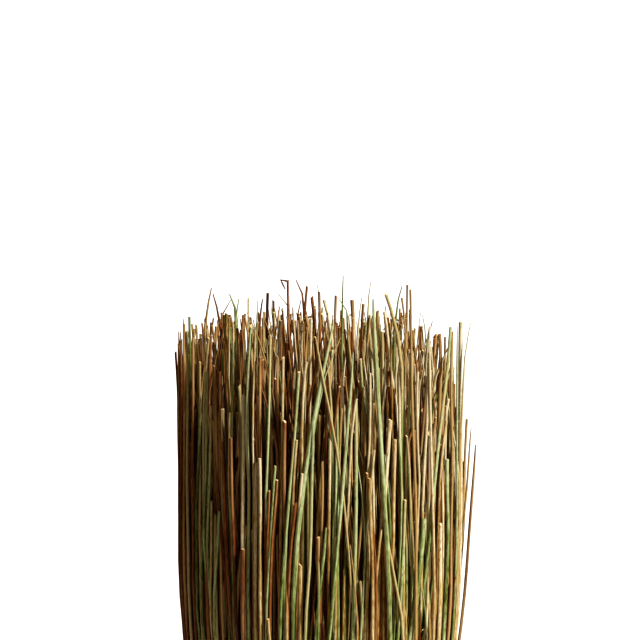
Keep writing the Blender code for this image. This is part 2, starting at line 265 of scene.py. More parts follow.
# Each row: the pixels, the thickness, the tone, how pale, how dry, and the tip where it isn't cut
FRONT_ROWS = (
    (((385, 294), (391.7, 313), (397.5, 337), (401.7, 370), (402.5, 388)), 0.0020, GREEN, 0.35, 0.3),
    (((268.8, 619), (270, 640)), 0.0018, STRAW, 1.00, 0.0),
    (((201.5, 362), (201, 400), (200, 440), (198.5, 500), (196, 590)), 0.0017, GREEN, 0.45, 0.2),
    (((208, 372), (208, 420), (207, 470), (204, 540), (202, 600)), 0.0016, GREEN, 0.60, 0.2),
    (((220.5, 372), (221.5, 430), (225.5, 500), (229, 590)), 0.0022, RUST, 0.45, 0.2),
    (((214.5, 420), (217, 460), (220, 511)), 0.0018, BROWN, 0.95, 0.3),
    (((232, 438), (233, 500), (235, 560), (236, 620)), 0.0019, BROWN, 0.85, 0.2),
    (((322.6, 622), (325.6, 640)), 0.0026, RUST, 0.95, 0.2, THIN),
    (((329.4, 440), (328.7, 478), (329.8, 509), (329, 560)), 0.0017, STRAW, 0.70, 0.1),
    (((373.8, 450), (372.5, 468), (371, 486)), 0.0014, STRAW, 0.80, 0.1),
    (((380.7, 530), (379.2, 545), (377.6, 560)), 0.0016, STRAW, 0.85, 0.1),
    (((394.5, 440), (393.7, 486), (393, 524), (392.6, 560)), 0.0023, STRAW, 0.75, 0.1),
    (((409, 353), (409.5, 375), (409.5, 399)), 0.0017, GREEN, 0.60, 0.8),
    (((464.6, 460.7), (464.8, 510), (464.6, 560)), 0.0020, STRAW, 0.80, 0.1),
    (((255.5, 330), (254.6, 399), (253, 450)), 0.0012, STRAW, 0.60, 0.1),
    (((260.4, 357), (260.2, 380), (259.8, 400)), 0.0016, RUST, 0.60, 0.4),
    (((244, 549), (243.2, 580), (242.4, 614)), 0.0024, BROWN, 0.95, 0.6),
    (((223.3, 409), (222.6, 440), (222, 470)), 0.0012, GREEN, 0.60, 0.4),
    (((230, 413), (229.6, 440), (229.4, 470)), 0.0012, STRAW, 0.60, 0.2),
    (((260, 458.5), (261, 486), (260.8, 524), (261.5, 580), (260.5, 637)), 0.0020, STRAW, 0.95, -0.3),
    (((269.6, 490.5), (269, 524), (268.5, 560)), 0.0015, RUST, 0.85, 0.2),
    (
        ((333, 326), (322.5, 375), (315.7, 400), (311.5, 440), (302.7, 486), (296.5, 540), (293.5, 584)),
        0.0029, GREEN, 0.90, 0.0, THIN,
    ),
    (
        ((315, 337), (322.5, 377), (328, 400), (335.6, 440), (340, 463), (343.2, 494), (346.3, 517)),
        0.0013, GREEN, 0.55, 1.0,
    ),
    (((340, 338), (329.4, 358), (324.5, 376), (322, 384)), 0.0013, GREEN, 0.85, 0.2, THIN),
    (((327.5, 363), (331, 387), (333, 402), (333, 440)), 0.0014, GREEN, 0.75, 0.2, THIN),
    (((340, 386.6), (337.5, 405), (335, 424)), 0.0012, BROWN, 0.90),
    (((356, 399), (353, 412), (350.5, 450)), 0.0015, STRAW, 0.80, 0.1),
    (((369, 373), (369.5, 400), (369.2, 440)), 0.0014, STRAW, 0.75, 0.1),
    (((390.5, 420), (388.5, 436), (385.5, 465), (384, 500)), 0.0024, STRAW, 0.95, 0.0),
    (((307, 362), (304.5, 380), (302.5, 400), (301.9, 437)), 0.0016, STRAW, 0.65, 0.2),
    (
        ((298.5, 372), (295.5, 420), (293.5, 448), (290.4, 486), (287.4, 524), (285, 556)),
        0.0017, GREEN, 0.80, 0.2,
    ),
    (((285, 421.5), (284.5, 460), (284.5, 500)), 0.0018, RUST, 0.55, 0.3),
    (((297.5, 440), (295, 478), (292.7, 503)), 0.0015, STRAW, 0.80, 0.1),
    (((302.5, 473.5), (301, 486), (299, 505)), 0.0017, STRAW, 1.00, 0.0),
    (((295.8, 503.5), (293.5, 530), (289.7, 556), (287.5, 590)), 0.0018, RUST, 0.80, 0.2),
    (((313, 425), (312, 470), (310.8, 516), (310, 568), (307, 606), (305, 637)), 0.0018, GREEN, 0.95, 0.5),
    (((326.5, 528), (324, 553), (321, 577), (318, 600), (315.5, 632)), 0.0016, GREEN, 0.80, 0.1),
    (((318.5, 562), (320.3, 576), (321.5, 586), (321, 606), (318.8, 632)), 0.0014, GREEN, 0.90, 0.6),
    (((336.3, 536), (335.6, 584), (334.5, 625)), 0.0018, STRAW, 0.85, 0.2),
    (((335.6, 452), (335.6, 500), (334.8, 532)), 0.0014, GREEN, 0.85, 0.1),
    (((349.3, 545), (353.2, 568), (357, 589), (357.5, 630)), 0.0013, STRAW, 0.85, 0.1, THIN),
    (((366.9, 473), (370, 509), (373.8, 547), (375.5, 575), (376, 620)), 0.0018, RUST, 0.90, 0.2),
    (
        ((379.9, 491), (385.3, 535), (393, 575), (396.6, 593), (400, 614), (404, 637)),
        0.0016, GREEN, 0.85, 0.7,
    ),
    (((384, 455), (386.5, 480), (390, 510), (391, 535)), 0.0018, GREEN, 0.80, 0.1, THIN),
    (((398.5, 440), (400.7, 486), (400.7, 532), (399, 570)), 0.0013, GREEN, 0.85, 0.2),
    (((405.5, 436), (408.2, 470), (409.5, 500), (411.5, 526)), 0.0014, GREEN, 0.90, 0.5),
    (((405, 500), (403.6, 530), (400.8, 572), (400, 610)), 0.0018, GREEN, 0.95, 0.4),
    (((423.5, 520), (422, 545), (419.5, 575), (415.5, 605), (411.5, 637)), 0.0030, GREEN, 0.90, 0.0),
    (((420.5, 590), (424, 614), (428, 637)), 0.0019, GREEN, 0.85, 0.0, THIN),
    (((417, 372), (414, 399), (415.5, 425), (418, 450), (418.5, 500)), 0.0014, STRAW, 0.85, 0.1),
    (
        ((450, 327), (444.7, 391), (439.3, 426), (434.7, 471), (431.5, 503), (428.5, 545)),
        0.0019, GREEN, 0.90, 0.2,
    ),
    (((428.6, 352), (426.5, 400), (426.3, 432)), 0.0018, STRAW, 0.95, 0.0),
    (((211.8, 405), (211.3, 450), (209.5, 494), (208, 530)), 0.0016, GREEN, 0.90, 0.3),
    (((209.6, 338), (206.4, 384), (204.2, 440), (204.8, 490), (204.5, 536)), 0.0016, GREEN, 0.95, 0.6),
    (((215, 366), (215.5, 410), (216, 450), (218, 500)), 0.0023, BROWN, 0.60, 0.5),
    (((220, 511), (219, 540), (216, 590), (214.5, 632)), 0.0017, GREEN, 0.95, 0.3),
    (((212.5, 501), (212, 555), (210.5, 600)), 0.0014, STRAW, 0.85, 0.2),
    (((251.5, 326), (249, 365), (247.7, 392), (247, 420)), 0.0018, GREEN, 0.95, 0.0),
    (((270.8, 335), (269.5, 395), (268.4, 450), (266.8, 490)), 0.0015, GREEN, 0.90, 0.2),
    (((275.3, 466), (272.2, 509), (269.2, 560), (266.5, 610)), 0.0015, GREEN, 0.85, 0.3),
    (((277, 480), (273.8, 532), (271.5, 560), (270, 607)), 0.0016, RUST, 0.85, 0.2),
    (((291.8, 470), (286.8, 532), (282.5, 584), (280.5, 632)), 0.0018, GREEN, 0.75, 0.1),
)
FRONT_STEMS = tuple(FrontStem(*row) for row in FRONT_ROWS)

# The photograph's skyline between the tips above, as pixels from left to right. No other stem rises
# over it.
SKYLINE = (
    *((170, 370), (176, 354), (184, 333), (200, 329), (222, 320), (250, 324), (264, 318), (290, 309)),
    *((310, 311), (330, 318), (356, 323), (382, 321), (398, 309), (412, 319), (420, 329), (430, 337)),
    *((438, 354), (452, 366), (470, 378)),
)


@dataclass
class Stems:
    """Any number of stems, with a row of each array for each stem."""

    paths: Array
    radius: Array
    taper: Array
    top: Array
    tone: Array
    end: Array
    tip_shift: Array
    tip_length: Array
    looks: Array
    folds: Array

    def pick(self, rows: Array) -> "Stems":
        """Gives some of the stems.

        Args:
            rows: Their numbers, or a mask.

        Returns:
            The same arrays, with only these rows.
        """
        return Stems(**{name: values[rows] for name, values in vars(self).items()})


def smooth_places(levels: Array, paths: Array, z: Array) -> Array:
    """Finds places on smooth curves through points at fixed levels.

    Args:
        levels: The heights of the points.
        paths: Each curve's points, as (stems, levels, 2).
        z: The heights that are asked for, as (stems, heights).

    Returns:
        The places, as (stems, heights, 2).
    """
    rise = np.diff(levels)
    climb = np.diff(paths, axis=1) / rise[None, :, None]
    slopes = np.concatenate([climb[:, :1], (climb[:, 1:] + climb[:, :-1]) / 2, climb[:, -1:]], axis=1)
    below = np.clip(np.searchsorted(levels, z, side="right") - 1, 0, len(levels) - 2)
    rows = np.arange(len(paths))[:, None]
    step = rise[below][..., None]
    t = (z[..., None] - levels[below][..., None]) / step
    start, end = paths[rows, below], paths[rows, below + 1]
    leave, arrive = slopes[rows, below] * step, slopes[rows, below + 1] * step
    return (
        (2 * t**3 - 3 * t**2 + 1) * start
        + (t**3 - 2 * t**2 + t) * leave
        + (3 * t**2 - 2 * t**3) * end
        + (t**3 - t**2) * arrive
    )


def unit(vectors: Array) -> Array:
    """Gives vectors the length of one."""
    return vectors / np.maximum(np.linalg.norm(vectors, axis=1, keepdims=True), TINY)


def bearings(angle: Array) -> Array:
    """Gives the directions at angles from +X, as (angles, 2)."""
    return np.stack([np.cos(angle), np.sin(angle)], axis=1)


# The clearest single stems' looks: how pale each is, and how far it has dried, both from 0 to 1
SINGLE_LOOKS = {
    "stem_12": (0.92, 0.0),
    "stem_13": (0.92, 0.0),
    "stem_15": (0.60, 0.2),
    "stem_16": (0.65, 0.6),
    "stem_17": (0.90, 0.1),
    "stem_18": (0.78, 0.1),
    "stem_19": (0.60, 0.3),
    "stem_20": (0.70, 0.2),
    "stem_21": (0.80, 0.3),
    "stem_25": (0.78, 0.0),
    "stem_26": (0.85, 0.0),
    "stem_27": (0.85, 1.0),
    "stem_28": (0.80, 0.2),
    "stem_29": (0.75, 0.1),
    "stem_30": (1.00, 0.0),
    "stem_31": (0.95, 0.0),
    "stem_35": (0.85, 0.1),
}

# Single stems that are as thick near their tips as at their feet
BROAD_STEMS = ("stem_12", "stem_17", "stem_25", "stem_35")


@dataclass
class SingleStems:
    """The stems that are CAD nodes of their own, read back from those nodes."""

    levels: Array
    prefix: str = "stem_"
    near: float = 0.004
    tapers: Pair = (0.25, 0.52)
    tops: Pair = (0.30, 0.44)
    broad_taper: float = 0.18
    tip_length: float = 0.018
    thin_below: float = 0.6
    seed: int = 5
    names: list[str] = field(default_factory=list)

    def read(self, form: BunchForm) -> Stems:
        """Reads each node's middle line, thickness, tip and tone.

        Args:
            form: The form of the bunch. It is not used.

        Returns:
            The stems, in the order of their names.
        """
        slots = {part["node"]: part["material_slot"] for part in frame["record"]["subparts"]}
        self.names = sorted(name for name in frame["nodes"] if name.startswith(self.prefix))
        pick = np.random.default_rng(self.seed)
        rows = len(self.names)
        paths = np.zeros((rows, len(self.levels), 2))
        radius, top, end, tone, tapers = (np.zeros(rows) for _ in range(5))
        looks = pick.random((rows, 3))
        for row, name in enumerate(self.names):
            mesh = frame["nodes"][name].data
            points = np.zeros(len(mesh.vertices) * 3)
            mesh.vertices.foreach_get("co", points)
            points = np.unique(points.reshape(-1, 3).round(6), axis=0)
            rings = self.rings(points)
            middles = np.array([ring.mean(axis=0) for ring in rings])
            widths = [
                np.linalg.norm((ring - middle)[:, :2], axis=1).max() for ring, middle in zip(rings, middles)
            ]
            radius[row], top[row] = widths[0], middles[-1, 2]
            end[row] = (Tip.THIN if widths[-1] < self.thin_below * widths[0] else Tip.CUT).value
            tone[row] = TONES.index(Tone(slots[name]))
            looks[row, :2] = SINGLE_LOOKS.get(name, looks[row, :2])
            is_broad = name in BROAD_STEMS
            tapers[row] = self.broad_taper if is_broad else np.interp(top[row], self.tops, self.tapers)
            wanted = np.minimum(self.levels, top[row])[None, :]
            paths[row] = smooth_places(middles[:, 2], middles[None, :, :2], wanted)[0]
        return Stems(
            paths=paths,
            radius=radius,
            taper=tapers,
            top=top,
            tone=tone.astype(int),
            end=end.astype(int),
            tip_shift=np.zeros((rows, 2)),
            tip_length=np.full(rows, self.tip_length),
            looks=looks,
            folds=np.zeros((rows, FOLD_RINGS, 3)),
        )

    def rings(self, points: Array) -> list[Array]:
        """Sorts a tube's points into its rings.

        Args:
            points: The tube's points.

        Returns:
            The rings from the foot up.
        """
        points = points[np.argsort(points[:, 2])]
        breaks = np.flatnonzero(np.diff(points[:, 2]) > self.near) + 1
        return np.split(points, breaks)


@dataclass
class Sheaf:
    """Lays out every other stem, packed like circles at each of several heights and bent round each other."""

    form: BunchForm
    view: PhotoView
    levels: Array
    count: int = 4100
    seed: int = 31

    # Thickness at the foot, how it lessens with height, and how much slimmer the tall stems are
    thick: float = 0.0020
    thick_spread: float = 0.00050
    thick_limits: Pair = (0.0011, 0.0032)
    tapers: Pair = (0.20, 0.46)
    slimmer_by_top: Table = ((0.385, 0.42), (1.0, 0.82))

    # Shares of the tones, in the order of TONES, and how they change to the right and with depth
    left_shares: tuple[float, ...] = (0.20, 0.21, 0.37, 0.22)
    right_shares: tuple[float, ...] = (0.15, 0.55, 0.14, 0.16)
    deep_shares: tuple[float, ...] = (0.10, 0.23, 0.43, 0.24)
    right_gain: float = 0.6
    deep_from: float = 0.003
    deep_over: float = 0.006
    deep_fades: float = 0.9

    # How pale and how dry the stems are, by their place across; the paleness is painted shade, darker to the
    # left, away from the key lamp, and a little paler to the right
    pale_powers: Table = ((-0.05, -0.01, 0.03, 0.05), (2.3, 1.3, 1.1, 0.9))
    dry_shares: Table = ((-0.03, 0.05), (0.8, 0.6))
    fresh: float = -0.2
    dried: float = 0.8

    # How the stems end, in the order of Tip, and how their tips lean and fold
    end_shares: tuple[float, ...] = (0.56, 0.40, 0.04)
    tip_lengths: Pair = (0.03, 0.09)
    cut_lean: float = 0.0027
    thin_lean: float = 0.0046
    turned_in: float = -0.5
    fold_spread: float = 0.4
    fold_droops: Pair = (-0.9, 0.2)
    fold_sizes: Pair = (0.0022, 0.0050)

    # Leans that swing: size, waves round the bunch, change from layer to layer, and start
    shake: float = 0.00055
    layer: float = 0.0022
    swings: tuple[tuple[float, float, float, float], ...] = ((0.0046, 3, 2.3, 0.0), (0.0040, 8, -3.1, 1.0))
    stray_by_depth: Table = ((0.0, 0.008, 0.02), (0.50, 0.35, 0.10))
    stray_lean: float = 0.0145
    usual_lean: float = 0.0045
    inward_lean: float = 0.0016
    lean_below_tie: float = 0.5

    # Bends along each stem, from the tie up: size, and shortest and longest wave
    loosens_over: float = 0.09
    bends: tuple[tuple[float, Pair], ...] = ((0.0013, (0.20, 0.34)), (0.0006, (0.09, 0.15)))

    # Heights: by chance, which is eased towards tall ones left of the middle
    left_powers: Table = ((-0.075, -0.062, -0.035, -0.015), (1.0, 0.65, 0.65, 1.0))
    top_by_chance: Table = (
        (0.0, 0.07, 0.25, 0.48, 0.68, 0.81, 0.870, 0.915, 0.945, 0.970, 1.0),
        (0.285, 0.325, 0.348, 0.364, 0.378, 0.392, 0.402, 0.411, 0.420, 0.428, 0.438),
    )
    short_by_depth: Table = ((0.0, 0.004, 0.012), (0.42, 0.34, 0.0))
    short_tops: Pair = (0.225, 0.350)
    skyline_play: Pair = (-0.007, 0.005)

    # The stems at the marked tips
    crown_share: float = 0.74
    crown_taper: float = 0.40
    # Painted shade: the marked tips are made darker towards the left, away from the key lamp
    crown_pales: Table = ((-0.012, 0.012), (0.55, 0.95))
    lean_runs_on: float = 0.3
    inside_tie: float = 0.002

    # The stems at the marks on the front
    aims: int = 4
    front_taper: float = 0.35
    front_rise: Table = ((0.0, 0.16, 0.20, 0.25), (-0.0024, -0.0024, 0.0, 0.0015))
    front_sink: float = 0.0035
    sinks_over: float = 0.035
    waist_lean: float = 0.55
    past_tip: float = 0.1
    green_pale: float = 0.92
    other_pale: float = 0.80

    # How the stems are pushed apart
    rounds: int = 70
    quick_rounds: int = 12
    pairs_last: int = 3
    near: float = 0.0034
    above_top: float = 0.01
    relief: float = 0.0026
    held_firm: float = 0.9
    held_back: float = 0.25
    springs_back: float = 0.012
    smoothing: float = 0.25
    overlap_share: float = 0.85
    push_share: float = 0.6

    def lay_out(self, singles: Stems) -> Stems:
        """Places the stems and gives them their tips and tones.

        Args:
            singles: The stems that stay where they are.

        Returns:
            The stems of the sheaf.
        """
        pick = np.random.default_rng(self.seed)
        at = self.waist_places(pick)
        deep = self.form.tie_radius - np.linalg.norm(at, axis=1)
        stems = Stems(
            paths=self.first_paths(at, deep, pick),
            radius=self.thicknesses(pick) / 2,
            taper=pick.uniform(*self.tapers, self.count),
            top=np.zeros(self.count),
            tone=self.tones(at, deep, pick),
            end=pick.choice([end.value for end in Tip], self.count, p=self.end_shares),
            tip_shift=pick.normal(0.0, 1.0, (self.count, 2)),
            tip_length=pick.uniform(*self.tip_lengths, self.count),
            looks=pick.random((self.count, 3)),
            folds=np.zeros((self.count, FOLD_RINGS, 3)),
        )
        leans = np.where(stems.end == Tip.CUT.value, self.cut_lean, self.thin_lean)
        stems.tip_shift *= leans[:, None]
        stems.folds += self.folds(stems.tip_shift, pick)
        stems.top = self.tops(stems.paths[:, -1], deep, pick)
        stems.radius *= np.interp(stems.top, *self.slimmer_by_top)
        # Painted shade: stems made darker towards the left, the side away from the key lamp
        stems.looks[:, 0] **= np.interp(at[:, 0], *self.pale_powers)
        stems.looks[:, 1] *= np.interp(at[:, 0], *self.dry_shares)
        held = self.place_crown_tips(stems)
        self.place_front_stems(stems, held)
        self.relax(stems, singles, held, pick)
        crown = smooth_places(self.levels, stems.paths, stems.top[:, None])[:, 0]
        room = self.form.outer_radius(stems.top) - stems.radius
        pokes_out = (np.linalg.norm(crown + stems.tip_shift, axis=1) > room) & (held == 0)
        stems.tip_shift[pokes_out] *= self.turned_in
        return stems

    def folds(self, tip_shift: Array, pick: Random) -> Array:
        """Gives where each stem's tip would be if it were folded back against its lean.

        Args:
            tip_shift: How far each tip lies aside of its stem.
            pick: The source of what is random.

        Returns:
            The places of the last rings, from the fold, as (stems, rings, 3).
        """
        way = np.arctan2(-tip_shift[:, 1], -tip_shift[:, 0]) + pick.normal(0.0, self.fold_spread, self.count)
        droop = pick.uniform(*self.fold_droops, self.count)
        size = pick.uniform(*self.fold_sizes, (self.count, 1))
        step = np.stack([np.cos(way), np.sin(way), droop], axis=1) * size
        share = np.arange(1, FOLD_RINGS + 1) / FOLD_RINGS
        return step[:, None] * share[None, :, None]

    def waist_places(self, pick: Random) -> Array:
        """Spreads the stems evenly over the waist on a golden-angle spiral, then shakes them.

        Args:
            pick: The source of what is random.

        Returns:
            The places, as (stems, 2).
        """
        number = np.arange(self.count)
        reach = (self.form.tie_radius - self.thick / 2) * np.sqrt((number + 0.5) / self.count)
        angle = number * math.pi * (3 - math.sqrt(5))
        at = reach[:, None] * bearings(angle)
        return at + pick.normal(0.0, self.shake, at.shape)

    def tones(self, at: Array, deep: Array, pick: Random) -> Array:
        """Gives each stem its tone: more straw to the right, more brown to the left and inside.

        Args:
            at: The stems' places at the waist.
            deep: How far each lies under the bunch's surface there.
            pick: The source of what is random.

        Returns:
            The tones' numbers.
        """
        aside = np.clip(at[:, 0] / self.form.tie_radius * self.right_gain + 0.5, 0.0, 1.0)[:, None]
        inside = np.clip((deep - self.deep_from) / self.deep_over, 0.0, 1.0)[:, None]
        inside = inside * (1 - self.deep_fades * aside)
        shares = np.array(self.left_shares) * (1 - aside) + np.array(self.right_shares) * aside
        shares = shares * (1 - inside) + np.array(self.deep_shares) * inside
        chance = pick.random(self.count)[:, None]
        return (chance > np.cumsum(shares, axis=1)).sum(axis=1).clip(0, len(TONES) - 1)

    def thicknesses(self, pick: Random) -> Array:
        """Gives each stem's thickness at its foot."""
        return np.clip(pick.normal(self.thick, self.thick_spread, self.count), *self.thick_limits)

    def first_paths(self, at: Array, deep: Array, pick: Random) -> Array:
        """Runs each stem up from the foot, with leans that swing from layer to layer.

        Args:
            at: The stems' places at the waist.
            deep: How far each lies under the bunch's surface there.
            pick: The source of what is random.

        Returns:
            The paths, as (stems, levels, 2).
        """
        angle = np.arctan2(at[:, 1], at[:, 0])
        layer = deep / self.layer
        swing = sum(
            size * np.sin(waves * angle + change * layer + start)
            for size, waves, change, start in self.swings
        )
        strays = pick.random(self.count) < np.interp(deep, *self.stray_by_depth)
        spread = np.where(strays, self.stray_lean, self.usual_lean)
        lean = swing + pick.normal(0.0, 1.0, self.count) * spread
        inward = pick.normal(0.0, self.inward_lean, self.count)
        outwards = bearings(angle)
        aside = outwards[:, ::-1] * (-1.0, 1.0)
        widens = self.form.outer_radius(self.levels) / self.form.tie_radius
        above = self.levels - self.form.tie_height
        risen = above / (self.form.height - self.form.tie_height)
        risen = np.where(risen > 0, risen, self.lean_below_tie * risen)
        moved = aside * lean[:, None] + outwards * inward[:, None]
        paths = at[:, None] * widens[None, :, None] + moved[:, None] * risen[None, :, None]
        loose = np.clip(above / self.loosens_over, 0.0, 1.0)[None, :, None]
        for size, lengths in self.bends:
            wave = pick.uniform(*lengths, (self.count, 1, 1))
            phase = pick.uniform(0, math.tau, (self.count, 1, 2))
            sway = pick.normal(0.0, size, (self.count, 1, 2))
            paths += sway * np.sin(self.levels[None, :, None] / wave * math.tau + phase) * loose
        return paths

    def tops(self, crown: Array, deep: Array, pick: Random) -> Array:
        """Gives each stem's height: few are tall, most end lower, and more of those at the surface are short.

        Args:
            crown: Where the stems' paths end.
            deep: How far each lies under the bunch's surface.
            pick: The source of what is random.

        Returns:
            The heights.
        """
        chance = pick.random(self.count)
        chance **= np.interp(crown[:, 0], *self.left_powers)
        top = np.interp(chance, *self.top_by_chance)
        short = pick.random(self.count) < np.interp(deep, *self.short_by_depth)
        top = np.where(short, pick.uniform(*self.short_tops, self.count), top)
        skyline = np.array([self.view.place(x, y, 0.0) for x, y in SKYLINE])
        seen_from_front = np.interp(crown[:, 0], skyline[:, 0], skyline[:, 1])
        nearer = crown[:, 1] * math.tan(self.view.elevation)
        return np.minimum(top, seen_from_front - nearer + pick.uniform(*self.skyline_play, self.count))

    def nearest(self, stems: Stems, waist: Array, held: Array) -> int:
        """Finds the free stem that passes nearest to a place at the waist.

        Args:
            stems: The stems.
            waist: The place.
            held: How firmly each stem keeps its own path, which is 0 where it is free.

        Returns:
            The stem's number.
        """
        level = int(np.searchsorted(self.levels, self.form.tie_height))
        return int(np.argmin(np.linalg.norm(stems.paths[:, level] - waist, axis=1) + held))

    def place_crown_tips(self, stems: Stems) -> Array:
        """Turns the stems nearest to the photograph's clearest tips into those stems.

        Args:
            stems: The stems, some of which are changed.

        Returns:
            How firmly each stem keeps its own path: 1 for these, 0 for the others.
        """
        held = np.zeros(self.count)
        form = self.form
        widens = form.outer_radius(self.levels) / form.tie_radius
        for mark in CROWN_TIPS:
            tip_x, tip_z = self.view.place(*mark.tip, mark.depth)
            low_x, low_z = self.view.place(*mark.below, mark.depth)
            start = low_x + (low_x - tip_x) * self.lean_runs_on
            waist = np.array([start, mark.depth]) * form.tie_radius / form.crown_radius
            waist *= min(1.0, (form.tie_radius - self.inside_tie) / np.linalg.norm(waist))
            row = self.nearest(stems, waist, held)
            risen = np.clip((self.levels - form.tie_height) / (low_z - form.tie_height), 0.0, 1.0)
            below = waist[None] * np.where(self.levels < form.tie_height, widens, 1.0)[:, None]
            crown = np.array([low_x, mark.depth])
            stems.paths[row] = below + (crown - waist)[None] * risen[:, None]
            stems.top[row] = tip_z
            stems.tip_shift[row] = (tip_x - low_x, 0.0)
            stems.tip_length[row] = tip_z - low_z
            stems.taper[row] = self.crown_taper
            share = self.crown_share if mark.end is Tip.CUT else 1.0
            stems.radius[row] = share * mark.thick / 2 / (1 - self.crown_taper)
            stems.tone[row] = TONES.index(mark.tone)
            stems.end[row] = mark.end.value
            # Painted shade and light: tips darker towards the left, and only brown and rust ones right of the
            # middle, on the lit side, dried paler
            stems.looks[row, 0] *= np.interp(tip_x, *self.crown_pales)
            is_dry_and_lit = mark.tone in (Tone.BROWN, Tone.RUST) and tip_x > 0
            stems.looks[row, 1] = self.dried if is_dry_and_lit else self.fresh
            if mark.hook:
                bent = np.array([self.view.place(*pixel, mark.depth) for pixel in mark.hook])
                stems.folds[row] = np.insert(bent - (tip_x, tip_z), 1, 0.0, axis=1)
            held[row] = 1.0
        return held

    def place_front_stems(self, stems: Stems, held: Array) -> None:
        """Turns some stems into those that lie on the front, over the bunch and under the twine.

        Args:
            stems: The stems, some of which are changed.
            held: How firmly each stem keeps its own path, which is set for these.
        """
        level = int(np.searchsorted(self.levels, self.form.tie_height))
        for mark in FRONT_STEMS:
            angles, heights = np.array([self.on_front(*pixel) for pixel in mark.passes[::-1]]).T
            leaves = (angles[1] - angles[0]) / (heights[1] - heights[0])
            arrives = (angles[-1] - angles[-2]) / (heights[-1] - heights[-2])
            waist = angles[0] + leaves * self.waist_lean * (self.form.tie_height - heights[0])
            knots = [0.0, self.form.tie_height, *heights, heights[-1] + self.past_tip]
            bends = [waist, waist, *angles, angles[-1] + arrives * self.past_tip]
            turns = np.interp(self.levels, knots, bends)
            radius = mark.thick / 2 / (1 - self.front_taper * heights[0] / self.form.height)
            proud = np.interp(self.levels, *self.front_rise)
            sinks = (heights[0] - self.sinks_over, heights[0])
            proud -= np.interp(self.levels, sinks, (self.front_sink, 0.0))
            reach = self.form.outer_radius(self.levels) - mark.thick / 2 + proud
            path = np.stack([reach * np.sin(turns), -reach * np.cos(turns)], axis=1)
            row = self.nearest(stems, path[level], held)
            stems.paths[row], stems.top[row] = path, heights[-1]
            stems.tip_shift[row] = 0.0
            stems.taper[row], stems.radius[row] = self.front_taper, radius
            stems.tone[row], stems.end[row] = TONES.index(mark.tone), mark.end.value
            toned_down = self.green_pale if mark.tone is Tone.GREEN else self.other_pale
            stems.looks[row, :2] = mark.pale * toned_down, mark.dry
            held[row] = 1.0

    def on_front(self, pixel_x: float, pixel_y: float) -> Pair:
        """Finds which place on the front of the bunch a pixel shows.

        Args:
            pixel_x: The pixel's column.
            pixel_y: The pixel's row.

        Returns:
            The place's angle, 0 at the front and positive to the right, and its height.
        """
        depth = -self.form.crown_radius
        for _ in range(self.aims):
            x, z = self.view.place(pixel_x, pixel_y, depth)
            radius = float(self.form.outer_radius(np.array(z)))
            depth = -math.sqrt(max(radius**2 - x**2, 0.0))
        return math.asin(max(-1.0, min(1.0, x / radius))), z

    def relax(self, stems: Stems, singles: Stems, held: Array, pick: Random) -> None:
        """Pushes the stems apart at every level and keeps each one's path smooth and inside the bunch.

        Args:
            stems: The stems, whose paths are changed.
            singles: The stems that stay where they are.
            held: How firmly each stem keeps its own path.
            pick: The source of what is random.
        """
        first = stems.paths.copy()
        places = np.concatenate([stems.paths, singles.paths])
        share = self.levels / self.form.height
        radii = np.concatenate([stems.radius, singles.radius])[:, None] * (
            1 - np.concatenate([stems.taper, singles.taper])[:, None] * share[None]
        )
        there = np.concatenate([stems.top, singles.top])[:, None] > self.levels[None] - self.above_top
        frees = np.concatenate([1 - self.held_firm * held, np.zeros(len(singles.top))])
        frees = frees[:, None] * np.ones(len(self.levels))
        rough = pick.uniform(0.0, self.relief, (self.count, 1))
        room = self.form.outer_radius(self.levels)[None] - radii[: self.count] - rough
        room = room + held[:, None]
        rise = np.diff(self.levels)
        upper = (rise[:-1] / (rise[:-1] + rise[1:]))[None, :, None]
        for turn in range(self.rounds):
            if turn % self.pairs_last == 0:
                pairs = self.near_pairs(places, there)
            self.push_apart(places, radii, frees, pairs)
            own = places[: self.count]
            moved = own - first
            between = moved[:, :-2] * (1 - upper) + moved[:, 2:] * upper
            moved[:, 1:-1] += self.smoothing * (between - moved[:, 1:-1])
            own[:] = first + moved * (1 - self.springs_back - self.held_back * held)[:, None, None]
            far = np.linalg.norm(own, axis=2)
            own *= np.minimum(1.0, room / np.maximum(far, TINY))[..., None]
        stems.paths[:] = places[: self.count]

    def near_pairs(self, places: Array, there: Array) -> tuple[Array, Array]:
        """Finds the stems that lie close together at the same level.

        Args:
            places: All stems' places, as (stems, levels, 2).
            there: Whether each stem reaches each level.

        Returns:
            The numbers of both stems of each pair, counted over stems and levels together.
        """
        number = np.flatnonzero(there.ravel())
        x, y = places.reshape(-1, 2)[number].T
        level = number % places.shape[1]
        order = np.lexsort((x, level))
        number, x, y, level = number[order], x[order], y[order], level[order]
        firsts, seconds = [], []
        for shift in range(1, len(number)):
            close = (level[shift:] == level[:-shift]) & (x[shift:] - x[:-shift] < self.near)
            if not close.any():
                break
            close &= np.abs(y[shift:] - y[:-shift]) < self.near
            found = np.flatnonzero(close)
            firsts.append(number[found])
            seconds.append(number[found + shift])
        return np.concatenate(firsts), np.concatenate(seconds)

    def push_apart(self, places: Array, radii: Array, frees: Array, pairs: tuple[Array, Array]) -> None:
        """Moves each pair of stems that overlap away from each other.

        Args:
            places: All stems' places, which are changed.
            radii: All stems' radii, as (stems, levels).
            frees: How freely each moves, as (stems, levels).
            pairs: The pairs that lie close together.
        """
        one, other = pairs
        flat, thick, free = places.reshape(-1, 2), radii.ravel(), frees.ravel()
        apart = flat[other] - flat[one]
        far = np.maximum(np.linalg.norm(apart, axis=1), TINY)
        overlap = np.maximum(thick[one] + thick[other] - far, 0.0)
        total = np.maximum(free[one] + free[other], TINY)
        push = apart / far[:, None] * (self.overlap_share * overlap / total)[:, None]
        for axis in range(2):
            back = np.bincount(one, push[:, axis] * free[one], len(flat))
            on = np.bincount(other, push[:, axis] * free[other], len(flat))
            flat[:, axis] += (on - back) * self.push_share


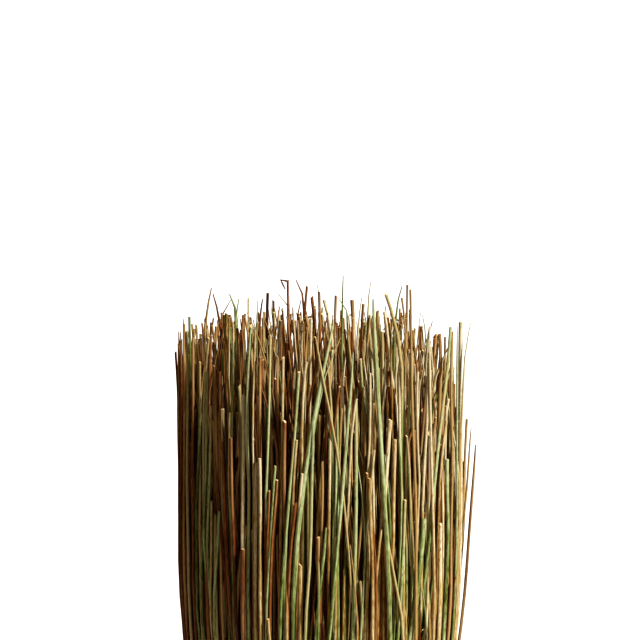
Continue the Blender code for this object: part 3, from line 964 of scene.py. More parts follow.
class Wire:
    """A socket of a tree's node, on which the usual operators add Math nodes."""

    def __init__(self, bench: "Bench", socket: bpy.types.NodeSocket) -> None:
        """Keeps the socket and the bench that its tree is on."""
        self.bench = bench
        self.socket = socket

    def maths(self, operation: str, *values: object, clamp: bool = False) -> "Wire":
        """Adds a Math node.

        Args:
            operation: What it works out.
            values: The numbers and sockets that it takes, in order.
            clamp: Whether its result is kept between 0 and 1.

        Returns:
            Its result.
        """
        settings = {"operation": operation, "use_clamp": clamp}
        return self.bench.node("ShaderNodeMath", settings, dict(enumerate(values)))

    def __add__(self, other: object) -> "Wire":
        """Adds."""
        return self.maths("ADD", self, other)

    __radd__ = __add__

    def __mul__(self, other: object) -> "Wire":
        """Multiplies."""
        return self.maths("MULTIPLY", self, other)

    __rmul__ = __mul__

    def __sub__(self, other: object) -> "Wire":
        """Subtracts."""
        return self.maths("SUBTRACT", self, other)

    def __rsub__(self, other: object) -> "Wire":
        """Subtracts this from a number."""
        return self.maths("SUBTRACT", other, self)

    def cos(self) -> "Wire":
        """Gives the cosine."""
        return self.maths("COSINE", self)

    def sin(self) -> "Wire":
        """Gives the sine."""
        return self.maths("SINE", self)

    def held(self) -> "Wire":
        """Keeps the value between 0 and 1."""
        return self.maths("ADD", self, 0.0, clamp=True)

    def rises(self, low: float, high: float) -> "Wire":
        """Gives 0 up to one value and 1 from another, with a smooth rise between."""
        values = {"Value": self, "From Min": low, "From Max": high, "To Min": 0.0, "To Max": 1.0}
        return self.bench.node("ShaderNodeMapRange", {"interpolation_type": "SMOOTHSTEP"}, values)


class Bench:
    """Puts one tree's nodes together."""

    def __init__(self, tree: bpy.types.NodeTree) -> None:
        """Keeps the tree."""
        self.tree = tree

    def node(
        self,
        kind: str,
        settings: Mapping[str, object] | None = None,
        sockets: Mapping[str | int, object] | None = None,
        output: str | int = 0,
    ) -> Wire:
        """Adds a node.

        Args:
            kind: Its type.
            settings: Its own settings, which are set first.
            sockets: The values or wires of its inputs, by name or number.
            output: Which of its outputs is wanted.

        Returns:
            That output.
        """
        node = self.tree.nodes.new(kind)
        for key, value in (settings or {}).items():
            setattr(node, key, value)
        for key, value in (sockets or {}).items():
            self.plug(value, self.one_of(node.inputs, key))
        return Wire(self, self.one_of(node.outputs, output))

    def one_of(self, sockets: bpy.types.bpy_prop_collection, key: str | int) -> bpy.types.NodeSocket:
        """Finds a socket by its identifier, name or number."""
        by_identifier = {socket.identifier: socket for socket in sockets}
        return by_identifier.get(key) or sockets[key]

    def plug(self, value: object, socket: bpy.types.NodeSocket) -> None:
        """Sets an input to a value or links it to a wire.

        Args:
            value: The value or the wire.
            socket: The input.
        """
        if isinstance(value, Wire):
            self.tree.links.new(value.socket, socket)
        elif isinstance(value, tuple) and socket.type == "RGBA":
            socket.default_value = (*value, 1.0)
        else:
            socket.default_value = value

    def all_of(self, kind: str, sockets: Mapping[str | int, object] | None = None) -> list[Wire]:
        """Adds a node and gives all of its outputs."""
        first = self.node(kind, sockets=sockets)
        return [Wire(self, output) for output in first.socket.node.outputs]


@dataclass
class SweepTree:
    """The Geometry Nodes tree that turns lines into round stems, with the inputs that it is given."""

    name: str = "sweep_stems"
    tree: bpy.types.NodeTree | None = None

    def build(self) -> None:
        """Builds the tree: lines to curves, a circle along each, slanted cuts, and the finish."""
        self.tree = bpy.data.node_groups.new(self.name, "GeometryNodeTree")
        for name, kind in (("Lines", "Geometry"), ("Sides", "Int"), ("Finish", "Material")):
            self.tree.interface.new_socket(name, in_out="INPUT", socket_type=f"NodeSocket{kind}")
        self.tree.interface.new_socket("Stems", in_out="OUTPUT", socket_type="NodeSocketGeometry")
        bench = Bench(self.tree)
        add = bench.node
        lines, sides, finish, *_ = bench.all_of("NodeGroupInput")

        def read(name: str, kind: str) -> Wire:
            """Reads one of the lines' attributes."""
            return add("GeometryNodeInputNamedAttribute", {"data_type": kind}, {"Name": name}, "Attribute")

        place = {"Geometry": lines, "Name": "middle", "Value": add("GeometryNodeInputPosition")}
        kept = add("GeometryNodeStoreNamedAttribute", {"data_type": "FLOAT_VECTOR", "domain": "POINT"}, place)
        ways = {"Curve": add("GeometryNodeMeshToCurve", sockets={"Mesh": kept}), "Fill Caps": True}
        ways["Profile Curve"] = add(
            "GeometryNodeCurvePrimitiveCircle", {"mode": "RADIUS"}, {"Resolution": sides, "Radius": 1.0}
        )
        ways["Scale"] = read("thick", "FLOAT")
        swept = add("GeometryNodeCurveToMesh", sockets=ways)
        ends = {0: add("GeometryNodeInputPosition"), 1: read("middle", "FLOAT_VECTOR")}
        aside = add("ShaderNodeVectorMath", {"operation": "SUBTRACT"}, ends)
        both = {0: aside, 1: read("slant", "FLOAT_VECTOR")}
        rise = add("ShaderNodeVectorMath", {"operation": "DOT_PRODUCT"}, both, "Value")
        lift = add("ShaderNodeCombineXYZ", sockets={"Z": rise})
        cut = add("GeometryNodeSetPosition", sockets={"Geometry": swept, "Offset": lift})
        real = add("GeometryNodeRealizeInstances", sockets={"Geometry": cut})
        stems = add("GeometryNodeSetMaterial", sockets={"Geometry": real, "Material": finish})
        bench.plug(stems, self.tree.nodes.new("NodeGroupOutput").inputs["Stems"])

    def sweep(self, lines: Mesh, name: str, sides: int, material: Material) -> Mesh:
        """Runs the tree on some lines.

        Args:
            lines: A mesh of edges, with the attributes thick and slant.
            name: The name of the new mesh.
            sides: How many sides each stem gets.
            material: The finish.

        Returns:
            The stems as a plain mesh, ring after ring and stem after stem.
        """
        holder = bpy.data.objects.new("lines", lines)
        bpy.context.scene.collection.objects.link(holder)
        modifier = holder.modifiers.new(self.name, "NODES")
        modifier.node_group = self.tree
        given = {"Sides": sides, "Finish": material}
        for socket in self.tree.interface.items_tree:
            if socket.name in given:
                modifier[socket.identifier] = given[socket.name]
        graph = bpy.context.evaluated_depsgraph_get()
        mesh = bpy.data.meshes.new_from_object(holder.evaluated_get(graph))
        mesh.name = name
        bpy.data.objects.remove(holder)
        bpy.data.meshes.remove(lines)
        return mesh


@dataclass
class Rods:
    """Lines with the same number of points each, ready to be swept into rods."""

    points: Array
    thick: Array
    slant: Array
    looks: Array
    ends: Array

    def as_lines(self) -> Mesh:
        """Makes the lines as a mesh of edges with the attributes that the sweep and the finishes read.

        Returns:
            The mesh.
        """
        rods, rings = self.thick.shape
        mesh = bpy.data.meshes.new("lines")
        mesh.vertices.add(rods * rings)
        mesh.vertices.foreach_set("co", self.points.ravel())
        first = (np.arange(rods)[:, None] * rings + np.arange(rings - 1)).ravel()
        mesh.edges.add(len(first))
        mesh.edges.foreach_set("vertices", np.stack([first, first + 1], axis=1).ravel())
        looks = np.repeat(self.looks[:, None], rings, axis=1)
        for name, values in (("slant", self.slant), ("looks", looks), ("ends", self.ends)):
            layer = mesh.attributes.new(name, "FLOAT_VECTOR", "POINT")
            layer.data.foreach_set("vector", values.astype(np.float32).ravel())
        layer = mesh.attributes.new("thick", "FLOAT", "POINT")
        layer.data.foreach_set("value", self.thick.astype(np.float32).ravel())
        return mesh

    def lengths(self) -> Array:
        """Gives how far along its rod each point lies, as (rods, rings)."""
        steps = np.linalg.norm(np.diff(self.points, axis=1), axis=2)
        return np.concatenate([np.zeros((len(steps), 1)), np.cumsum(steps, axis=1)], axis=1)


@dataclass
class RodMaker:
    """Sweeps rods and lays out their two UV maps."""

    tree: SweepTree
    bake_map: str = "OFBake"
    strip_fill: float = 0.84
    end_room: float = 0.035
    end_size: float = 0.4
    tall_strips: float = 26.0
    length_share: float = 0.85
    even_share: float = 0.15

    def make(self, name: str, rods: Rods, sides: int, material: Material) -> Object:
        """Makes one piece from some rods.

        Args:
            name: The piece's name.
            rods: The rods.
            sides: How many sides each rod gets. It isn't four, because an end is told by its corners.
            material: The finish.

        Returns:
            The piece, at the origin.
        """
        mesh = self.tree.sweep(rods.as_lines(), name, sides, material)
        rings = rods.thick.shape[1]
        corners = np.zeros(len(mesh.loops), dtype=np.int64)
        mesh.loops.foreach_get("vertex_index", corners)
        totals = np.zeros(len(mesh.polygons), dtype=np.int64)
        mesh.polygons.foreach_get("loop_total", totals)
        face = np.repeat(np.arange(len(totals)), totals)
        rod, ring, side = corners // (rings * sides), corners // sides % rings, corners % sides
        is_cap = totals[face] == sides
        has_first, has_last = (
            np.bincount(face, ~is_cap & (side == which), len(totals)) > 0 for which in (0, sides - 1)
        )
        closing = (has_first & has_last)[face] & (side == 0) & ~is_cap
        round_share = np.where(closing, 1.0, side / sides)
        lengths = rods.lengths()
        self.write_map(mesh, PATTERN_MAP, round_share, lengths[rod, ring])
        self.write_map(mesh, self.bake_map, *self.strips(rod, ring, round_share, is_cap, lengths))
        self.sharpen_ends(mesh, face, ring, is_cap, rings)
        for attribute in ("thick", "slant", "middle"):
            mesh.attributes.remove(mesh.attributes[attribute])
        piece = bpy.data.objects.new(name, mesh)
        bpy.context.scene.collection.objects.link(piece)
        return piece

    def strips(
        self, rod: Array, ring: Array, round_share: Array, is_cap: Array, lengths: Array
    ) -> tuple[Array, Array]:
        """Lays the rods side by side in rows, each in a strip of its own with a disc at either end.

        Args:
            rod: Each corner's rod.
            ring: Each corner's ring.
            round_share: How far round its rod each corner lies.
            is_cap: Whether each corner belongs to an end.
            lengths: How far along its rod each ring lies, as (rods, rings).

        Returns:
            Both coordinates of each corner.
        """
        count, rings = lengths.shape
        rows = max(1, round(math.sqrt(count / self.tall_strips)))
        columns = math.ceil(count / rows)
        even = np.linspace(0.0, 1.0, rings)[None]
        share = self.length_share * lengths / lengths[:, -1:] + self.even_share * even
        wide, tall = 1.0 / columns, 1.0 / rows
        column, row = rod % columns, rod // columns
        u = (column + 0.5 + self.strip_fill * (round_share - 0.5)) * wide
        v = (row + self.end_room + (1 - 2 * self.end_room) * share[rod, ring]) * tall
        turn = round_share * math.tau
        disc = min(self.strip_fill * wide, self.end_room * tall) * self.end_size
        at_top = ring > 0
        middle = (row + np.where(at_top, 1 - self.end_room / 2, self.end_room / 2)) * tall
        u = np.where(is_cap, (column + 0.5) * wide + disc * np.cos(turn), u)
        v = np.where(is_cap, middle + disc * np.sin(turn), v)
        return u, v

    def write_map(self, mesh: Mesh, name: str, u: Array, v: Array) -> None:
        """Writes a UV map."""
        layer = mesh.uv_layers.new(name=name, do_init=False)
        layer.uv.foreach_set("vector", np.stack([u, v], axis=1).astype(np.float32).ravel())

    def sharpen_ends(self, mesh: Mesh, face: Array, ring: Array, is_cap: Array, rings: int) -> None:
        """Shades the rods' sides smooth and their ends flat.

        Args:
            mesh: The rods' mesh.
            face: Each corner's face.
            ring: Each corner's ring.
            is_cap: Whether each corner belongs to an end.
            rings: How many rings each rod has.
        """
        flat = np.zeros(len(mesh.polygons), dtype=bool)
        flat[face[is_cap | (ring == rings - 1)]] = True
        mesh.shade_smooth()
        layer = mesh.attributes.get("sharp_face") or mesh.attributes.new("sharp_face", "BOOLEAN", "FACE")
        layer.data.foreach_set("value", flat)


@dataclass
class StemShaper:
    """Turns laid-out stems into rods: their smooth lines, taper, tips, folds and slanted cuts."""

    form: BunchForm
    levels: Array
    seed: int = 77
    bevel: float = 0.00016
    bevel_share: float = 0.74
    slant_spread: Pair = (1.3, 0.38)
    slant_limit: float = 1.7
    foot_gap: float = 0.0002
    foot_spread: float = 0.0009
    wobble: float = 0.00022
    wobble_shares: Pair = (0.3, 1.8)
    wobble_lengths: Pair = (0.07, 0.19)

    # How closely the rings stand near the tip, how the tip leans, and how a thin one narrows
    ring_power: float = 1.55
    lean_power: float = 1.6
    point_length: float = 0.075
    point_lean: float = 1.3
    point_size: float = 0.38
    point_power: float = 0.75
    tipward_length: float = 0.030

    def shape(self, stems: Stems, rings: int) -> Rods:
        """Shapes stems into rods.

        Args:
            stems: The stems.
            rings: How many rings each stem has along its sides, before the one of its bevelled end.

        Returns:
            The rods.
        """
        pick = np.random.default_rng(self.seed)
        count = len(stems.top)
        spaced = np.linspace(0.0, 1.0, rings) ** self.ring_power
        foot = self.foot_gap + self.foot_spread * pick.random(count) ** 2
        z = stems.top[:, None] - (stems.top - foot)[:, None] * spaced[::-1][None]
        places = smooth_places(self.levels, stems.paths, z)
        over = np.clip(1 - (stems.top[:, None] - z) / stems.tip_length[:, None], 0.0, 1.0)
        places = places + stems.tip_shift[:, None] * (over**self.lean_power)[..., None]
        places = places + self.waves(z, pick)
        points = np.concatenate([places, z[..., None]], axis=2)
        thick = stems.radius[:, None] * (1 - stems.taper[:, None] * z / self.form.height)
        is_thin = (stems.end != Tip.CUT.value)[:, None]
        narrows = np.minimum(self.point_length, stems.tip_length * self.point_lean)[:, None]
        below = np.clip((stems.top[:, None] - z) / narrows, 0.0, 1.0)
        point = self.point_size + (1 - self.point_size) * below**self.point_power
        thick = thick * np.where(is_thin, point, 1.0)
        self.fold(points, stems)
        return self.with_ends(points, thick, stems, pick)

    def waves(self, z: Array, pick: Random) -> Array:
        """Gives each stem the slight waves of one that grew.

        Args:
            z: The heights, as (stems, rings).
            pick: The source of what is random.

        Returns:
            How far each ring lies aside.
        """
        each = (len(z), 1, 2)
        length = pick.uniform(*self.wobble_lengths, each)
        phase = pick.uniform(0, math.tau, each)
        size = self.wobble * pick.uniform(*self.wobble_shares, each)
        return size * np.sin(z[..., None] / length * math.tau + phase)

    def fold(self, points: Array, stems: Stems) -> None:
        """Folds the tips of the stems that are bent.

        Args:
            points: The stems' rings, which are changed.
            stems: The stems.
        """
        bent = stems.end == Tip.FOLDED.value
        elbows = points[bent, -1]
        points[bent, -FOLD_RINGS - 1] = elbows
        points[bent, -FOLD_RINGS:] = elbows[:, None] + stems.folds[bent]

    def with_ends(self, points: Array, thick: Array, stems: Stems, pick: Random) -> Rods:
        """Adds a narrow bevel with the pale pith inside it, slanted on a stem that was cut askew.

        Args:
            points: The stems' rings.
            thick: Their radii.
            stems: The stems.
            pick: The source of what is random.

        Returns:
            The rods.
        """
        count = len(points)
        is_cut = stems.end == Tip.CUT.value
        ahead = unit(points[:, -1] - points[:, -2])
        rim = points[:, -1:] + ahead[:, None] * self.bevel
        tipward = np.clip(1 - (stems.top[:, None] - points[..., 2]) / self.tipward_length, 0.0, 1.0)
        points = np.concatenate([points, rim], axis=1)
        thick = np.concatenate([thick, thick[:, -1:] * self.bevel_share], axis=1)
        askew = np.where(is_cut, pick.gamma(*self.slant_spread, count), 0.0).clip(0.0, self.slant_limit)
        way = pick.uniform(0, math.tau, count)
        slant = np.zeros_like(points)
        slant[:, -2:, 0], slant[:, -2:, 1] = (askew * np.cos(way))[:, None], (askew * np.sin(way))[:, None]
        ends = np.zeros_like(points)
        ends[:, -1, :2] = 1.0
        ends[:, :-1, 1] = tipward
        ends[:, :, 2] = ~is_cut[:, None]
        return Rods(points, thick, slant, stems.looks, ends)


class FinishBench(Bench):
    """Puts one material's nodes together, in front of its main shader."""

    def __init__(self, name: str) -> None:
        """Starts a material with its output and its main shader.

        Args:
            name: The material's name.
        """
        self.material = bpy.data.materials.new(name)
        self.material.use_nodes = True
        super().__init__(self.material.node_tree)
        self.shader = self.tree.nodes["Principled BSDF"]

    def set_shader(self, inputs: Mapping[str, object]) -> None:
        """Sets or links inputs of the main shader."""
        for name, value in inputs.items():
            self.plug(value, self.shader.inputs[name])

    def mix(self, base: object, over: object, factor: object) -> Wire:
        """Mixes two colours.

        Args:
            base: The colour at factor 0.
            over: The colour at factor 1.
            factor: How much of the second there is.

        Returns:
            The mixed colour.
        """
        settings = {"data_type": "RGBA", "clamp_factor": True}
        sockets = {"Factor_Float": factor, "A_Color": base, "B_Color": over}
        return self.node("ShaderNodeMix", settings, sockets, "Result_Color")

    def finish(self, colour: Wire, roughness: Wire, height: Wire, depth: float) -> Material:
        """Wires the main shader.

        Args:
            colour: The base colour.
            roughness: The roughness.
            height: The surface's relief, from 0 to 1.
            depth: The relief's depth.

        Returns:
            The material.
        """
        sockets = {"Height": height, "Strength": 1.0, "Distance": depth}
        bump = self.node("ShaderNodeBump", sockets=sockets)
        self.set_shader({"Base Color": colour, "Roughness": roughness, "Normal": bump})
        return self.material


@dataclass(frozen=True)
class Grain:
    """Noise that runs along a stem or a strand.

    Its scales are round the stem and along each metre of it, and each stem has its own place in the
    noise. Light and height are how much it adds to the colour's lightness and to the relief.
    """

    ribs: float
    per_metre: float
    per_stem: float
    detail: float = 2.0
    roughness: float = 0.55
    light: float = 0.0
    height: float = 0.0


class StemMap:
    """What a stem's material reads: the place round it and along it, and the stem's own numbers."""

    def __init__(self, bench: FinishBench) -> None:
        """Adds the nodes that read them.

        Args:
            bench: The bench that the material is on.
        """
        self.bench = bench
        place = bench.node("ShaderNodeUVMap", {"uv_map": PATTERN_MAP})
        around, self.length, _ = bench.all_of("ShaderNodeSeparateXYZ", {0: place})
        turn = around * math.tau
        self.across, self.back = turn.cos(), turn.sin()
        self.shade, self.dry, self.own = self.attribute("looks")

    def attribute(self, name: str) -> list[Wire]:
        """Reads an attribute, as its three parts."""
        vector = self.bench.node("ShaderNodeAttribute", {"attribute_name": name}, output="Vector")
        return self.bench.all_of("ShaderNodeSeparateXYZ", {0: vector})

    def noise(self, grain: Grain) -> Wire:
        """Adds a grain's noise.

        Args:
            grain: The grain.

        Returns:
            The noise, from 0 to 1.
        """
        along = self.length * grain.per_metre + self.own * grain.per_stem
        place = {"X": self.across * grain.ribs, "Y": self.back * grain.ribs, "Z": along}
        vector = self.bench.node("ShaderNodeCombineXYZ", sockets=place)
        sockets = {"Vector": vector, "Scale": 1.0, "Detail": grain.detail, "Roughness": grain.roughness}
        return self.bench.node("ShaderNodeTexNoise", {"noise_dimensions": "3D"}, sockets)


@dataclass(frozen=True)
class RushFinish:
    """The finish of rush of one tone: ribbed, blotched and speckled skin that dries towards the tip."""

    tone: Tone
    dark: Colour
    middle: Colour
    pale: Colour
    dried: Colour
    dries: float
    speckle: Colour = (0.058, 0.018, 0.004)
    pith: Colour = (0.54, 0.41, 0.22)
    scorched: Colour = (0.115, 0.044, 0.013)
    gloss: float = 0.34
    rib_depth: float = 0.00013

    zones: Grain = Grain(0.12, 8.0, 61.0, light=0.9)
    blotches: Grain = Grain(0.45, 42.0, 23.0, 3.0, light=1.3)
    ribs: Grain = Grain(2.8, 14.0, 97.0, light=1.0, height=0.35)
    streaks: Grain = Grain(6.5, 26.0, 13.0, light=1.3, height=0.45)
    mottle: Grain = Grain(1.1, 230.0, 43.0, 3.0, light=1.5, height=0.2)
    specks: Grain = Grain(2.6, 420.0, 71.0, 1.0)

    # Lightness: from the stem's own shade and from painted light high in the crown, where more light falls,
    # and where the colours change
    own_light: float = 0.90
    crown_light: float = 0.52
    crown_from: Pair = (0.24, 0.42)
    dimmed: float = 0.23
    middle_from: Pair = (0.0, 0.5)
    pale_from: Pair = (0.42, 1.0)

    # Drying: by zones, by how dry the stem is and by height
    zone_dries: float = 4.0
    own_dries: float = 1.6
    own_middle: float = 0.62
    height_dries: float = 5.0
    height_middle: float = 0.26
    dried_from: Pair = (-0.1, 0.5)
    dried_share: float = 0.85

    # Dark marks on the skin
    specks_from: Pair = (0.60, 0.76)
    specks_in: Pair = (0.34, 0.62)
    specks_share: float = 0.8
    mottle_from: Pair = (0.56, 0.78)
    mottle_share: float = 0.55

    # Scorching towards the tip: on a cut one, and how much more on a thin one; and pith on the cuts
    scorch_grows: float = 1.3
    scorch_starts: float = 0.55
    scorch_from: Pair = (0.0, 0.9)
    scorch_on_cut: float = 0.35
    scorch_on_thin: float = 0.45
    scorch_dry: Pair = (0.25, 0.7)
    pith_from: Pair = (0.35, 0.9)
    pith_hidden: float = 0.7

    roughness: float = 0.28
    streak_rough: float = 0.3
    mottle_rough: float = 0.12
    pith_rough: float = 0.35

    def make(self) -> Material:
        """Makes the material.

        Returns:
            The material, which reads the pattern map and the attributes looks and ends.
        """
        bench = FinishBench(self.tone.value)
        stem = StemMap(bench)
        pith, tipward, thin = stem.attribute("ends")
        grains = (self.zones, self.blotches, self.ribs, self.streaks, self.mottle)
        noises = [stem.noise(grain) for grain in grains]
        zones, blotches, ribs, streaks, mottle = noises
        specks = stem.noise(self.specks)
        light = stem.shade * self.own_light
        for noise, grain in zip(noises, grains):
            light = light + (noise - 0.5) * grain.light
        # Painted light: every stem is made lighter higher up, towards the crown, where more light falls
        light = light + stem.length.rises(*self.crown_from) * self.crown_light - self.dimmed
        colour = bench.mix(self.dark, self.middle, light.rises(*self.middle_from))
        colour = bench.mix(colour, self.pale, light.rises(*self.pale_from))
        drying = (zones - 0.5) * self.zone_dries + (stem.dry - self.own_middle) * self.own_dries
        drying = drying + (stem.length - self.height_middle) * self.dries * self.height_dries
        colour = bench.mix(colour, self.dried, drying.rises(*self.dried_from) * self.dried_share)
        marks = specks.rises(*self.specks_from) * blotches.rises(*self.specks_in) * self.specks_share
        colour = bench.mix(colour, self.speckle, marks)
        colour = bench.mix(colour, self.speckle, mottle.rises(*self.mottle_from) * self.mottle_share)
        scorch = (tipward * self.scorch_grows - self.scorch_starts + (mottle - 0.5)).rises(*self.scorch_from)
        scorch = scorch * (self.scorch_on_cut + self.scorch_on_thin * thin)
        colour = bench.mix(colour, self.scorched, scorch * stem.dry.rises(*self.scorch_dry))
        colour = bench.mix(colour, self.pith, pith.rises(*self.pith_from) * (1.0 - self.pith_hidden * thin))
        roughness = self.roughness + (streaks - 0.5) * self.streak_rough + mottle * self.mottle_rough
        roughness = roughness + pith * self.pith_rough
        height = ribs * self.ribs.height + streaks * self.streaks.height + mottle * self.mottle.height
        bench.set_shader({"Specular IOR Level": self.gloss})
        return bench.finish(colour, roughness.held(), height, self.rib_depth)


RUSH_FINISHES = (
    RushFinish(
        GREEN,
        dark=(0.052, 0.064, 0.008),
        middle=(0.183, 0.226, 0.068),
        pale=(0.404, 0.467, 0.284),
        dried=(0.450, 0.360, 0.190),
        dries=1.15,
    ),
    RushFinish(
        STRAW,
        dark=(0.172, 0.078, 0.014),
        middle=(0.370, 0.272, 0.106),
        pale=(0.576, 0.526, 0.380),
        dried=(0.240, 0.115, 0.042),
        dries=0.0,
    ),
    RushFinish(
        BROWN,
        dark=(0.050, 0.011, 0.001),
        middle=(0.128, 0.040, 0.015),
        pale=(0.275, 0.142, 0.057),
        dried=(0.410, 0.290, 0.132),
        dries=0.9,
    ),
    RushFinish(
        RUST,
        dark=(0.100, 0.029, 0.004),
        middle=(0.215, 0.085, 0.028),
        pale=(0.360, 0.222, 0.100),
        dried=(0.425, 0.290, 0.138),
        dries=0.6,
    ),
)


@dataclass(frozen=True)
class TwineFinish:
    """The finish of the twine: dry fibres that run along each twisted strand."""

    dark: Colour = (0.225, 0.135, 0.062)
    middle: Colour = (0.450, 0.310, 0.165)
    pale: Colour = (0.640, 0.490, 0.300)
    fibre_depth: float = 0.00014
    fibres: Grain = Grain(2.4, 160.0, 53.0, 3.0, light=1.4)
    patches: Grain = Grain(0.4, 30.0, 53.0, light=0.5)
    own_light: float = 0.4
    brightened: float = 0.08
    middle_from: Pair = (0.0, 0.5)
    pale_from: Pair = (0.45, 1.0)
    roughness: float = 0.78
    fibre_rough: float = 0.2

    def make(self) -> Material:
        """Makes the material.

        Returns:
            The material, which reads the pattern map and the attribute looks.
        """
        bench = FinishBench("twine")
        strand = StemMap(bench)
        fibres, patches = strand.noise(self.fibres), strand.noise(self.patches)
        light = strand.shade * self.own_light + patches * self.patches.light
        light = light + (fibres - 0.5) * self.fibres.light + self.brightened
        colour = bench.mix(self.dark, self.middle, light.rises(*self.middle_from))
        colour = bench.mix(colour, self.pale, light.rises(*self.pale_from))
        roughness = self.roughness + (fibres - 0.5) * self.fibre_rough
        return bench.finish(colour, roughness.held(), fibres, self.fibre_depth)


@dataclass
class RushBunch:
    """All the stems of the bunch: each single one as a piece, and the sheaf as pieces of one tone each."""

    form: BunchForm
    view: PhotoView
    maker: RodMaker
    levels: Array = field(
        default_factory=lambda: np.array(
            [0.0, 0.05, 0.10, 0.144, 0.156, 0.185, 0.22, 0.26, 0.30, 0.335, 0.365, 0.395, 0.42, 0.445]
        )
    )
    single_rings: int = 21
    single_sides: int = 10
    near_rings: int = 15
    near_sides: int = 8
    deep_rings: int = 7
    deep_sides: int = 5

    # The finer stems: those this near the surface between two of the levels, and those this tall
    surface: float = 0.011
    surface_levels: tuple[int, int] = (5, 11)
    tall_from: float = 0.402
    quarters: int = 4
    quarter_level: int = 7

    def build(self, finishes: Mapping[Tone, Material]) -> Iterator[Object]:
        """Builds the single stems and then the stems of the sheaf.

        Args:
            finishes: The material of each tone.

        Yields:
            Each piece, dressed and riding on the bunch's body.
        """
        reader = SingleStems(self.levels)
        singles = reader.read(self.form)
        shaper = StemShaper(self.form, self.levels)
        rods = shaper.shape(singles, self.single_rings)
        for row, name in enumerate(reader.names):
            tone = TONES[singles.tone[row]]
            one = Rods(*(values[row : row + 1] for values in vars(rods).values()))
            piece = self.maker.make(name.replace("stem", "rush"), one, self.single_sides, finishes[tone])
            yield self.dress(piece, name)
        sheaf = Sheaf(self.form, self.view, self.levels).lay_out(singles)
        yield from self.build_sheaf(sheaf, shaper, finishes)

    def build_sheaf(
        self, sheaf: Stems, shaper: StemShaper, finishes: Mapping[Tone, Material]
    ) -> Iterator[Object]:
        """Builds the sheaf: finer stems near its surface, by quarter, and plainer ones inside.

        Args:
            sheaf: The laid-out stems.
            shaper: What shapes them.
            finishes: The material of each tone.

        Yields:
            Each piece.
        """
        far = np.linalg.norm(sheaf.paths, axis=2)
        depths = self.form.outer_radius(self.levels)[None] - far
        depth = depths[:, slice(*self.surface_levels)].min(axis=1)
        near = (depth < self.surface) | (sheaf.top > self.tall_from)
        middle = sheaf.paths[:, self.quarter_level]
        quarter = np.floor(np.arctan2(middle[:, 1], middle[:, 0]) / math.tau * self.quarters).astype(int)
        quarter %= self.quarters
        for number, tone in enumerate(TONES):
            for part in range(self.quarters):
                rows = near & (sheaf.tone == number) & (quarter == part)
                rods = shaper.shape(sheaf.pick(rows), self.near_rings)
                name = f"outer_{tone.value}_{part + 1}"
                piece = self.maker.make(name, rods, self.near_sides, finishes[tone])
                yield self.dress(piece, "packed_stems")
            rods = shaper.shape(sheaf.pick(~near & (sheaf.tone == number)), self.deep_rings)
            piece = self.maker.make(f"inner_{tone.value}", rods, self.deep_sides, finishes[tone])
            yield self.dress(piece, "packed_stems")

    def dress(self, piece: Object, node: str) -> Object:
        """Makes a piece ride on the bunch and stand for a CAD node.

        Args:
            piece: The piece.
            node: The CAD node.

        Returns:
            The piece.
        """
        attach(piece, "root")
        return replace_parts(piece, node)


